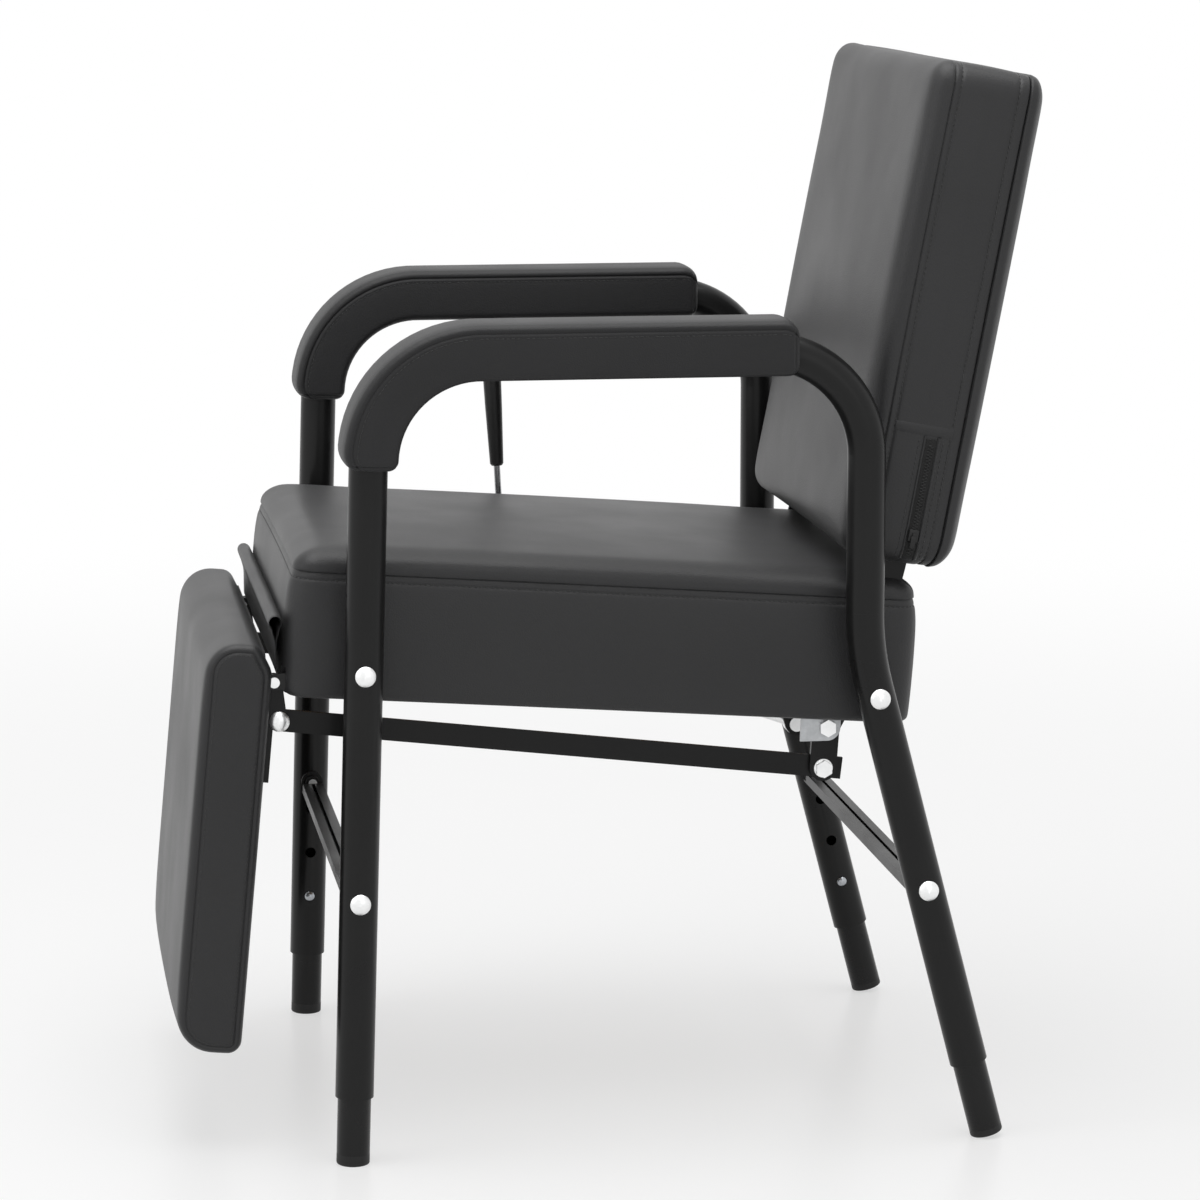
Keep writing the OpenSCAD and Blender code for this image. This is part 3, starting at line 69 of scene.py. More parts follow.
def linear(shade: str) -> tuple[float, float, float, float]:
    """Turn an sRGB hex colour to linear values.

    Args:
        shade: The colour as #rrggbb.

    Returns:
        Red, green, blue and alpha, linear.
    """
    parts = [int(shade[i:i + 2], 16) / 255 for i in (1, 3, 5)]
    turned = [p / 12.92 if p <= 0.04045 else ((p + 0.055) / 1.055) ** 2.4 for p in parts]
    return (turned[0], turned[1], turned[2], 1.0)


def add_node(tree: NodeTree, kind: str, inputs: dict | None = None, **settings) -> Node:
    """Add a node with its settings and links.

    Args:
        tree: The material's node tree.
        kind: The node's type.
        inputs: Values or sockets by input name.
        settings: The node's own properties.

    Returns:
        The new node.
    """
    node = tree.nodes.new(kind)
    for name, value in settings.items():
        setattr(node, name, value)
    for name, value in (inputs or {}).items():
        if isinstance(value, NodeSocket):
            tree.links.new(value, node.inputs[name])
        else:
            node.inputs[name].default_value = value
    return node


@dataclass(frozen=True)
class Finish:
    """What a surface is made of and how it was made, with the colours of its pattern's two ends."""

    name: str
    shade: str
    lighter: str
    roughness: float

    def start(self) -> tuple[Material, NodeTree, NodeSocket]:
        """Make the empty material.

        Returns:
            The material, its tree and the object coordinates in metres.
        """
        made = bpy.data.materials.new(self.name)
        made.use_nodes = True
        made.diffuse_color = linear(self.shade)
        tree = made.node_tree
        return made, tree, add_node(tree, "ShaderNodeTexCoord").outputs["Object"]

    def cells(self, tree: NodeTree, place: NodeSocket, size: float, detail: float = 2.0,
              wander: float = 0.0) -> NodeSocket:
        """Add cloudy noise whose features are a given size.

        Args:
            tree: The material's node tree.
            place: The coordinates.
            size: The size of a feature in millimetres.
            detail: The levels of finer detail.
            wander: How much the pattern is distorted.

        Returns:
            The socket of the noise.
        """
        node = add_node(tree, "ShaderNodeTexNoise",
                        {"Vector": place, "Scale": 1000 / size, "Detail": detail, "Distortion": wander})
        return node.outputs["Fac"]

    def done(self, made: Material, tint: NodeSocket, dull: NodeSocket, spread: Point, values: dict[str, float],
             heights: Sequence[tuple[NodeSocket, float, float]], at: Point = (0.3, 0.7)) -> Material:
        """Link the patterns to the shader.

        Args:
            made: The material.
            tint: The pattern between the two colours.
            dull: The pattern of the roughness.
            spread: What that adds to the roughness at its low and high end.
            values: The shader's other values.
            heights: Each pattern of the relief with its strength and its depth in millimetres.
            at: The tint's values where the two colours are reached.

        Returns:
            The material.
        """
        tree = made.node_tree
        shader = tree.nodes["Principled BSDF"]
        ramp = add_node(tree, "ShaderNodeValToRGB", {"Fac": tint})
        for stop, position, colour in zip(ramp.color_ramp.elements, at, (self.shade, self.lighter)):
            stop.position = position
            stop.color = linear(colour)
        tree.links.new(ramp.outputs["Color"], shader.inputs["Base Color"])
        rough = add_node(tree, "ShaderNodeMapRange", {
            "Value": dull, "From Min": 0.3, "From Max": 0.7,
            "To Min": self.roughness + spread[0], "To Max": self.roughness + spread[1]})
        tree.links.new(rough.outputs["Result"], shader.inputs["Roughness"])
        for name, value in values.items():
            shader.inputs[name].default_value = value
        normal = None
        for socket, strength, depth in heights:
            inputs = {"Height": socket, "Strength": strength, "Distance": depth * MM}
            if normal is not None:
                inputs["Normal"] = normal
            normal = add_node(tree, "ShaderNodeBump", inputs).outputs["Normal"]
        tree.links.new(normal, shader.inputs["Normal"])
        return made

    def build(self) -> Material:
        """Make the material, as each kind of finish does in its own way."""
        raise NotImplementedError


@dataclass(frozen=True)
class GrainedVinyl(Finish):
    """PVC upholstery vinyl, calendered and embossed with a leather grain, so its gloss is broken and soft."""

    pebble: float = 1.5
    grain: float = 0.35
    gloss: float = 0.37

    def build(self) -> Material:
        """Make the grain's pebbles, the fine pores, soft creases and cloudy colour.

        Returns:
            The material.
        """
        made, tree, place = self.start()
        # The embossed pebbles are about 1.5 mm across, drawn a little coarser than the 1 mm of real grain
        warp = add_node(tree, "ShaderNodeTexNoise", {"Vector": place, "Scale": 1000 / 4, "Detail": 1.0})
        bent = add_node(tree, "ShaderNodeMixRGB", {"Fac": 0.0015, "Color1": place, "Color2": warp.outputs["Color"]})
        pebbles = add_node(tree, "ShaderNodeTexVoronoi", {"Vector": bent.outputs["Color"], "Scale": 1000 / self.pebble,
                                                          "Randomness": 0.9}, feature="F1")
        pores = self.cells(tree, place, 0.45)
        creases = self.cells(tree, place, 26, 3.0, 0.8)
        clouds = self.cells(tree, place, 95, 3.0)
        values = {"IOR": 1.52, "Specular IOR Level": self.gloss, "Sheen Weight": 0.04, "Sheen Roughness": 0.5}
        return self.done(made, clouds, clouds, (-0.03, 0.05), values,
                         [(creases, 0.12, 0.3), (pebbles.outputs["Distance"], self.grain, 0.35), (pores, 0.25, 0.08)])


@dataclass(frozen=True)
class PowderPaint(Finish):
    """Black powder coat baked on steel tube: satin, with the faint orange peel that the powder leaves."""

    peel: float = 1.8
    gloss: float = 0.3

    def build(self) -> Material:
        """Make the orange peel, the dust of fine specks and the slight change of gloss along the metal.

        Returns:
            The material.
        """
        made, tree, place = self.start()
        peel = self.cells(tree, place, self.peel, 1.0)
        specks = self.cells(tree, place, 0.5, 1.0)
        clouds = self.cells(tree, place, 60, 4.0, 0.4)
        values = {"IOR": 1.5, "Specular IOR Level": self.gloss, "Coat Weight": 0.08, "Coat Roughness": 0.12}
        return self.done(made, clouds, clouds, (-0.04, 0.06), values, [(peel, 0.3, 0.06), (specks, 0.12, 0.02)])


@dataclass(frozen=True)
class PlatedSteel(Finish):
    """Electroplated steel: a bright or dull mirror with the fine turning and handling lines of the part under it."""

    lines: float = 0.9
    wear: float = 0.05

    def build(self) -> Material:
        """Make the plating's tint, its fine lines and its uneven gloss.

        Returns:
            The material.
        """
        made, tree, place = self.start()
        clouds = self.cells(tree, place, 9, 3.0)
        drawn = add_node(tree, "ShaderNodeMapping", {"Vector": place, "Scale": (1.0, 14.0, 14.0)})
        lines = self.cells(tree, drawn.outputs["Vector"], self.lines * 10)
        return self.done(made, clouds, clouds, (0.0, self.wear), {"Metallic": 1.0}, [(lines, 0.15, 0.02)])


@dataclass(frozen=True)
class Plywood(Finish):
    """Bare birch plywood, rotary cut, so its grain runs in long wandering bands."""

    band: float = 7.0

    def build(self) -> Material:
        """Make the bands of grain, the short pores and their relief.

        Returns:
            The material.
        """
        made, tree, place = self.start()
        drawn = add_node(tree, "ShaderNodeMapping", {"Vector": place, "Scale": (1.0, 0.12, 0.12)}).outputs["Vector"]
        bands = self.cells(tree, drawn, self.band, 4.0, 1.2)
        pores = self.cells(tree, drawn, 0.7)
        return self.done(made, bands, pores, (-0.06, 0.08), {"IOR": 1.5}, [(bands, 0.15, 0.2), (pores, 0.3, 0.1)])


@dataclass(frozen=True)
class MouldedPlastic(Finish):
    """Injection-moulded plastic with a spark-eroded texture, which gives an even dull sheen."""

    grit: float = 0.7

    def build(self) -> Material:
        """Make the mould's grit and the faint flow of colour.

        Returns:
            The material.
        """
        made, tree, place = self.start()
        grit = self.cells(tree, place, self.grit)
        flow = self.cells(tree, place, 35, 2.0, 1.0)
        values = {"IOR": 1.49, "Specular IOR Level": 0.35}
        return self.done(made, flow, flow, (-0.04, 0.05), values, [(grit, 0.3, 0.05)])


@dataclass(frozen=True)
class WovenYarn(Finish):
    """Polyester thread or woven tape, whose fibres scatter light, with the ribs of its twist or weave."""

    rib: float = 0.7

    def build(self) -> Material:
        """Make the ribs and the fuzz of the fibres.

        Returns:
            The material.
        """
        made, tree, place = self.start()
        ribs = add_node(tree, "ShaderNodeTexWave", {"Vector": place, "Scale": 1000 / (self.rib * 6.28), "Detail": 1.0,
                                                    "Distortion": 1.5}, bands_direction="DIAGONAL").outputs["Fac"]
        fuzz = self.cells(tree, place, 0.6)
        values = {"IOR": 1.5, "Sheen Weight": 0.3, "Sheen Roughness": 0.4}
        return self.done(made, ribs, fuzz, (-0.08, 0.05), values, [(ribs, 0.4, 0.12), (fuzz, 0.2, 0.05)], (0.1, 0.9))


@functools.cache
def material(finish: Finish) -> Material:
    """Make a finish's material once and return it for every piece that wears it."""
    return finish.build()


CUSHION_VINYL = GrainedVinyl("cushion_vinyl_embossed", "#202021", "#262627", 0.44)
ARM_VINYL = GrainedVinyl("arm_vinyl_embossed", "#1e1e1f", "#242425", 0.5, 1.3, 0.42, 0.28)
FLAP_VINYL = GrainedVinyl("flap_vinyl_embossed", "#1e1e1f", "#242425", 0.46)
FRAME_PAINT = PowderPaint("frame_powder_coat", "#131313", "#171717", 0.3, 1.8, 0.2)
BRACE_PAINT = PowderPaint("brace_powder_coat", "#181818", "#1d1d1d", 0.4, 1.4, 0.25)
ARM_PAINT = PowderPaint("lever_arm_enamel", "#121212", "#161616", 0.36, 1.8, 0.18)
RAIL_PAINT = PowderPaint("rail_enamel", "#171717", "#1c1c1c", 0.42, 2.2, 0.25)
INNER_PAINT = PowderPaint("inner_leg_powder_coat", "#121212", "#161616", 0.26, 1.8, 0.22)
BOLT_CHROME = PlatedSteel("bolt_chrome_plated", "#eeefef", "#f8f8f8", 0.3)
LEVER_CHROME = PlatedSteel("lever_chrome_plated", "#a2a3a5", "#b6b7b9", 0.14)
SCREW_ZINC = PlatedSteel("screw_zinc_plated", "#a9a9a2", "#bcbcb4", 0.34, 0.6, 0.1)
PLATE_ZINC = PlatedSteel("bracket_zinc_plated", "#a4a6a8", "#c2c4c6", 0.36, 0.8, 0.12)
SPRING_STEEL = PlatedSteel("spring_tempered_steel", "#9fa2a6", "#b4b7bb", 0.28, 0.5, 0.08)
ZIP_LACQUER = PowderPaint("zip_slider_lacquer", "#141414", "#1b1b1b", 0.3, 0.6, 0.3)
BOARD_BIRCH = Plywood("board_birch_plywood", "#a97f4e", "#c9a170", 0.62)
GRIP_PLASTIC = MouldedPlastic("grip_moulded_pvc", "#151515", "#1a1a1a", 0.38)
FOOT_PLASTIC = MouldedPlastic("foot_moulded_polypropylene", "#131313", "#181818", 0.5)
TOOTH_PLASTIC = MouldedPlastic("zip_tooth_acetal", "#1c1c1c", "#262626", 0.35, 0.5)
DUST_CLOTH = WovenYarn("legrest_board_dust_cloth", "#161616", "#202020", 0.8, 1.1)
BLACK_THREAD = WovenYarn("thread_twisted_polyester", "#141414", "#202020", 0.6, 0.5)
# The zip tape's colour is its own black, darkened further by painted shade of the recess between the zip's lips
ZIP_TAPE_PAINTED_SHADE = WovenYarn("zip_tape_polyester_painted_shade", "#070707", "#0e0e0e", 0.85)


# ---- Shapes ----

@dataclass(frozen=True)
class Tilt:
    """A leaning frame of the chair, given by its origin in the side view and its lean in degrees."""

    y: float
    z: float
    lean: float

    def matrix(self) -> Matrix:
        """Return the frame's place in metres."""
        return Matrix.Translation((0, self.y * MM, self.z * MM)) @ Matrix.Rotation(math.radians(-self.lean), 4, "X")

    def point(self, along: float, up: float) -> Point:
        """Return the side view's place of a point of this frame, in millimetres."""
        spot = self.matrix() @ Vector((0, along * MM, up * MM))
        return spot.y / MM, spot.z / MM


SEAT = Tilt(-5, 374.5, 4.1)
BACK = Tilt(212.8, 492.1, 10.7)
LEGREST = Tilt(-281.4, 431, 5.45)
PIVOT = (189.3, 348.4)
HINGE = (-277.0, 400.0)
SHARP_EDGE = math.radians(35)


class Facing(Enum):
    """The way a cushion's sewn face points in its frame, as a turn about X in degrees."""

    UP = 0.0
    FRONT = 90.0
    REAR = -90.0


def linked(name: str, data: bpy.types.ID) -> Object:
    """Put an object in the scene.

    Args:
        name: Its name.
        data: Its mesh, lamp or camera.

    Returns:
        The object.
    """
    made = bpy.data.objects.new(name, data)
    bpy.context.scene.collection.objects.link(made)
    return made


def mesh_of(name: str, bm: BMesh) -> bpy.types.Mesh:
    """Turn a bmesh to a mesh with its edges and faces in the same order each run.

    Args:
        name: The mesh's name.
        bm: The bmesh, whose extrusions left edges and faces in the order of their places in memory; it is freed.

    Returns:
        The mesh.
    """
    bm.verts.index_update()
    count = len(bm.verts)

    def rank(part: BMEdge | BMFace) -> float:
        """Return a number made of the part's two or three lowest vertices."""
        first, second, *others = sorted(v.index for v in part.verts)
        return float((first * count + second) * count + (others[0] if others else 0))

    bm.edges.sort(key=rank)
    bm.faces.sort(key=rank)
    mesh = bpy.data.meshes.new(name)
    bm.to_mesh(mesh)
    bm.free()
    return mesh


def soften(mesh: bpy.types.Mesh) -> None:
    """Shade a mesh smoothly, apart from its sharp edges."""
    mesh.shade_smooth()
    mesh.set_sharp_from_angle(angle=SHARP_EDGE)


def finished(name: str, bm: BMesh, finish: Finish) -> Object:
    """Turn a bmesh to an object at the origin that wears a finish.

    Args:
        name: The piece's name.
        bm: Its shape in metres; it is freed.
        finish: What it is made of.

    Returns:
        The piece.
    """
    mesh = mesh_of(name, bm)
    mesh.materials.append(material(finish))
    soften(mesh)
    return linked(name, mesh)


def new_of(made: dict, kind: type) -> list:
    """Return the elements of one kind among those that a bmesh operator made."""
    return [g for g in made["geom"] if isinstance(g, kind)]


def face_out(bm: BMesh) -> None:
    """Turn all faces outwards."""
    bmesh.ops.recalc_face_normals(bm, faces=bm.faces[:])


def settle(piece: Object) -> None:
    """Apply a piece's modifiers to its mesh and mark its sharp edges again.

    Args:
        piece: The piece.
    """
    bpy.context.view_layer.update()
    live = piece.evaluated_get(bpy.context.evaluated_depsgraph_get())
    mesh = bpy.data.meshes.new_from_object(live)
    old = piece.data
    piece.modifiers.clear()
    piece.data = mesh
    bpy.data.meshes.remove(old)
    soften(mesh)


def refine(piece: Object, cutters: Sequence[Object] = ()) -> None:
    """Round a piece with one subdivision, close its open ends and cut it.

    Args:
        piece: The piece, whose modifiers are applied.
        cutters: What is cut away, one after the other; they are removed.
    """
    smooth = piece.modifiers.new("smooth", "SUBSURF")
    smooth.levels = 1
    smooth.render_levels = 1
    settle(piece)
    bm = bmesh.new()
    bm.from_mesh(piece.data)
    rim = [e for e in bm.edges if e.is_boundary]
    if rim:
        bmesh.ops.holes_fill(bm, edges=rim, sides=0)
        face_out(bm)
        bm.to_mesh(piece.data)
    bm.free()
    for cutter in cutters:
        cut = piece.modifiers.new("cut", "BOOLEAN")
        cut.operation = "DIFFERENCE"
        cut.solver = "MANIFOLD"
        cut.object = cutter
    settle(piece)
    for cutter in cutters:
        bpy.data.objects.remove(cutter)


def skin_of(piece: Object) -> BVHTree:
    """Make a search tree of a piece's surface.

    Args:
        piece: The piece.

    Returns:
        The tree.
    """
    bm = bmesh.new()
    bm.from_mesh(piece.data)
    tree = BVHTree.FromBMesh(bm)
    bm.free()
    return tree


SWELL_FRAMES = 20
SWELL_SMOOTHING = 14


def swell(piece: Object, held: Sequence[int], pressure: float, cap: float) -> None:
    """Blow up a cover with cloth simulation, held by its seams, and keep its smoothed rise under a cap.

    Args:
        piece: The cover, with its place in its mesh.
        held: The vertices that thread or the board holds.
        pressure: The pressure inside.
        cap: The furthest that a point may move, in millimetres.
    """
    start = [v.co.copy() for v in piece.data.vertices]
    outward = [v.normal.copy() for v in piece.data.vertices]
    links: list[list[int]] = [[] for _ in start]
    for edge in piece.data.edges:
        a, b = edge.vertices
        links[a].append(b)
        links[b].append(a)
    group = piece.vertex_groups.new(name="held")
    group.add(list(held), 1.0, "REPLACE")
    cloth = piece.modifiers.new("swell", "CLOTH")
    for name, value in {"quality": 4, "mass": 0.3, "tension_stiffness": 20, "compression_stiffness": 20,
                        "shear_stiffness": 8, "bending_stiffness": 1.0, "use_pressure": True,
                        "uniform_pressure_force": pressure, "vertex_group_mass": "held"}.items():
        setattr(cloth.settings, name, value)
    cloth.settings.effector_weights.gravity = 0
    cloth.collision_settings.use_collision = False
    cloth.point_cache.frame_end = SWELL_FRAMES
    scene = bpy.context.scene
    for number in range(1, SWELL_FRAMES + 1):
        scene.frame_set(number)
    live = piece.evaluated_get(bpy.context.evaluated_depsgraph_get())
    moved = [v.co.copy() for v in live.data.vertices]
    piece.modifiers.clear()
    piece.vertex_groups.clear()
    scene.frame_set(1)
    rise = [max(0.0, (after - before).dot(way)) for before, after, way in zip(start, moved, outward)]
    fixed = set(held)
    for _ in range(SWELL_SMOOTHING):
        rise = [0.0 if k in fixed else (rise[k] + sum(rise[n] for n in near)) / (1 + len(near))
                for k, near in enumerate(links)]
    limit = cap * MM
    for vertex, before, way, height in zip(piece.data.vertices, start, outward, rise):
        vertex.co = before + way * limit * math.tanh(height / limit)
    piece.data.update()


def prism(bm: BMesh, outline: Sequence[Point], x0: float, x1: float) -> None:
    """Add a plate between two X planes, in millimetres.

    Args:
        bm: The bmesh that gets it.
        outline: Its corners in the side view.
        x0: Its lower X plane.
        x1: Its upper X plane.
    """
    corners = [bm.verts.new((x0 * MM, y * MM, z * MM)) for y, z in outline]
    grown = bmesh.ops.extrude_face_region(bm, geom=[bm.faces.new(corners)])
    bmesh.ops.translate(bm, verts=new_of(grown, BMVert), vec=((x1 - x0) * MM, 0, 0))


def block(bm: BMesh, tilt: Tilt, low: Sequence[float], high: Sequence[float], shift: float = 0.0) -> list[BMVert]:
    """Add a box between two corners of a leaning frame, in millimetres.

    Args:
        bm: The bmesh that gets it.
        tilt: The frame.
        low: The lower corner.
        high: The upper corner.
        shift: How far the box is moved along X.

    Returns:
        Its vertices.
    """
    middle = Vector([(a + b) / 2 * MM for a, b in zip(low, high)]) + Vector((shift * MM, 0, 0))
    size = Matrix.Diagonal([(b - a) * MM for a, b in zip(low, high)] + [1.0])
    place = tilt.matrix() @ Matrix.Translation(middle) @ size
    return bmesh.ops.create_cube(bm, size=1.0, matrix=place)["verts"]


def rod(bm: BMesh, at: Point, across: float, x0: float, x1: float) -> None:
    """Add a round bar along X, in millimetres.

    Args:
        bm: The bmesh that gets it.
        at: Its place in the side view.
        across: Its diameter.
        x0: Its lower end.
        x1: Its upper end.
    """
    place = Matrix.Translation(((x0 + x1) / 2 * MM, at[0] * MM, at[1] * MM)) @ Matrix.Rotation(math.pi / 2, 4, "Y")
    bmesh.ops.create_cone(bm, cap_ends=True, segments=48, radius1=across / 2 * MM, radius2=across / 2 * MM,
                          depth=(x1 - x0) * MM, matrix=place)


def both_sides(bm: BMesh) -> None:
    """Add the mirror image across X = 0 and turn all faces outwards.

    Args:
        bm: The bmesh that is doubled.
    """
    copied = bmesh.ops.duplicate(bm, geom=bm.verts[:] + bm.edges[:] + bm.faces[:])
    bmesh.ops.scale(bm, vec=(-1, 1, 1), verts=new_of(copied, BMVert))
    face_out(bm)


def cutter_from(bm: BMesh) -> Object:
    """Turn a bmesh to a hidden object that cuts others.

    Args:
        bm: Its shape in metres; it is freed.

    Returns:
        The cutter.
    """
    made = linked("cutter", mesh_of("cutter", bm))
    made.hide_render = True
    return made


def resampled(points: Sequence[Vector], pitch: float, closed: bool) -> list[tuple[Vector, Vector]]:
    """Walk along a line in equal steps.

    Args:
        points: The line's points in metres.
        pitch: The step in metres.
        closed: Whether the last point joins the first.

    Returns:
        Each step's place and direction.
    """
    line = list(points) + ([points[0]] if closed else [])
    out: list[tuple[Vector, Vector]] = []
    carry = pitch / 2
    for a, b in zip(line, line[1:]):
        span = (b - a).length
        while carry < span:
            out.append((a.lerp(b, carry / span), (b - a).normalized()))
            carry += pitch
        carry -= span
    return out


def tube(bm: BMesh, points: Sequence[Vector], radius: float, sides: int = 10) -> None:
    """Add a round cord, closed at both ends.

    Args:
        bm: The bmesh that gets it.
        points: Its middle line in metres.
        radius: Its radius in metres.
        sides: The number of its flat sides.
    """
    def ring(k: int) -> Matrix:
        """Return the place of the cord's section at a point."""
        a, b = points[max(k - 1, 0)], points[min(k + 1, len(points) - 1)]
        return Matrix.Translation(points[k]) @ (b - a).to_track_quat("Z", "Y").to_matrix().to_4x4()

    layer = bm.verts.layers.int.get("spot") or bm.verts.layers.int.new("spot")
    loop = bmesh.ops.create_circle(bm, segments=sides, radius=radius, cap_ends=True, matrix=ring(0))["verts"]
    spots = [ring(0).inverted() @ v.co for v in loop]
    for number, vertex in enumerate(loop):
        vertex[layer] = number
    faces = list({f for v in loop for f in v.link_faces})
    for k in range(1, len(points)):
        grown = bmesh.ops.extrude_face_region(bm, geom=faces)
        place = ring(k)
        for vertex in new_of(grown, BMVert):
            vertex.co = place @ spots[vertex[layer]]
        faces = new_of(grown, BMFace)


def rounded_stitch() -> tuple[list[Vector], list[list[int]]]:
    """Make one stitch as a six-sided ball, which is drawn out along the thread.

    Returns:
        Its points and the points of each face.
    """
    rings = [(math.sin(k * math.pi / 4), math.cos(k * math.pi / 4)) for k in (1, 2, 3)]
    turns = [math.pi / 6 + k * math.pi / 3 for k in range(6)]
    spots = [Vector((0, 0, 1)), Vector((0, 0, -1))]
    spots += [Vector((wide * math.cos(turn), wide * math.sin(turn), up)) for wide, up in rings for turn in turns]
    sides = []
    for k in range(6):
        a, b = 2 + k, 2 + (k + 1) % 6
        sides += [[0, a, b], [a, a + 6, b + 6, b], [a + 6, a + 12, b + 12, b + 6], [a + 12, 1, b + 12]]
    return spots, sides


@dataclass(frozen=True)
class StitchRow:
    """A row of lockstitch: short thread loops half sunk in the cover."""

    pitch: float = 4.6
    length: float = 3.5
    thick: float = 0.8
    reach: float = 4.0
    proud: float = 0.1

    def places(self, lines: Sequence[Sequence[Vector]], closed: bool, skin: BVHTree) -> list[Matrix]:
        """Find where the stitches go along some lines on a cover.

        Args:
            lines: The lines in metres.
            closed: Whether they run all the way round.
            skin: The cover's surface.

        Returns:
            The place, turn and size of each stitch.
        """
        found = []
        size = Matrix.Diagonal((self.length / 2 * MM, self.thick / 2 * MM, self.thick / 2 * MM, 1.0))
        for spot, along in (step for line in lines for step in resampled(line, self.pitch * MM, closed)):
            near, normal, _, _ = skin.find_nearest(spot)
            if near is None or (near - spot).length > self.reach * MM:
                continue
            side = normal.cross(along).normalized()
            turn = Matrix((along, side, normal)).transposed().to_4x4()
            found.append(Matrix.Translation(near + normal * self.proud * MM) @ turn @ size)
        return found

    def sew(self, name: str, places: Sequence[Matrix], body: str, slot: str) -> None:
        """Copy one rounded stitch to each place and join them to a piece.

        Args:
            name: The piece's name.
            places: The stitches' places.
            body: The body that the cover rides on.
            slot: The cover's material slot; not used.
        """
        spots, sides = rounded_stitch()
        mesh = bpy.data.meshes.new(name)
        mesh.from_pydata([m @ co for m in places for co in spots], [],
                         [[k * len(spots) + i for i in side] for k in range(len(places)) for side in sides])
        mesh.materials.append(material(BLACK_THREAD))
        mesh.shade_smooth()
        threads = linked(name, mesh)
        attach(threads, body)
        log.info("%s: %d stitches", name, len(places))


# ---- Pads in general ----

@dataclass(kw_only=True)
class Pad:
    """A foam pad in a sewn cover: its name, its body, how it is blown up and how it is sewn."""

    name: str
    nodes: tuple[str, ...]
    body: str
    slot: str = "cushion_vinyl"
    finish: Finish = CUSHION_VINYL
    pressure: float = 4.0
    cap: float = 2.2
    fill: float = 0.8
    thread: StitchRow = StitchRow()
    closed: bool = True
    cutters: Callable[[], list[Object]] | None = None
    bend: Callable[[Vector], Vector] | None = None

    def cover(self, bm: BMesh, held: Sequence[int], seams: Sequence[Sequence[int]]) -> BVHTree:
        """Swell, smooth, cut and sew the cover, and place it on its body.

        Args:
            bm: The cover's shape in metres; it is freed.
            held: The indices of the vertices that thread or the board holds.
            seams: The indices of the vertices along each sewn line.

        Returns:
            The finished cover's surface.
        """
        piece = finished(self.name, bm, self.finish)
        swell(piece, held, self.pressure, self.cap)
        if self.bend:
            for vertex in piece.data.vertices:
                vertex.co = self.bend(vertex.co)
        lines = [[piece.data.vertices[k].co.copy() for k in seam] for seam in seams]
        refine(piece, self.cutters() if self.cutters else ())
        skin = skin_of(piece)
        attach(piece, self.body)
        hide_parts(*self.nodes)
        log.info("%s: %d faces", self.name, len(piece.data.polygons))
        places = self.thread.places(lines, self.closed, skin)
        if places:
            self.thread.sew(self.name + "_stitches", places, self.body, self.slot)
        return skin


# ---- Boxed cushions ----

# Distances of the grid lines from a cushion's seam: close at the rolled edge, wide on the face
EDGE_STEPS = (0.0, 1.0, 2.4, 4.2, 6.4, 9.0, 12.0, 15.5, 19.5, 24.0, 29.0, 35.0, 41.5, 49.0)
FACE_STEP = 9.0
SIDE_STEP = 6.2
# The thread's groove under the seam, as further inset and depth below it; the second ring is held
GROOVE = ((0.9, 0.3), (1.9, 0.9), (1.0, 1.6), (0.6, 2.8))
# How far the waist of a cushion's edges reaches in, and the size of the puckers where thread gathers the vinyl
WAIST_REACH = 45.0
PUCKER = (14.0, 20.0, 0.35, 9.0)


def grid_lines(span: float) -> list[float]:
    """Space the grid lines across a face.

    Args:
        span: The face's size.

    Returns:
        The lines' places, centred on 0.
    """
    near = [d - span / 2 for d in EDGE_STEPS]
    inner = span - 2 * EDGE_STEPS[-1]
    count = math.ceil(inner / FACE_STEP)
    middle = [near[-1] + inner * k / count for k in range(1, count)]
    return near + middle + [-d for d in reversed(near)]


@dataclass(frozen=True)
class Channel:
    """A line sewn round a cushion's side at a height above its lower edge."""

    height: float
    depth: float = 0.9


@dataclass(frozen=True)
class Ring:
    """One ring of a cushion's side: how far it lies inside the outline, its height and what holds it."""

    inset: float
    height: float
    held: bool = False
    waist: float = 1.0
    sewn: bool = False


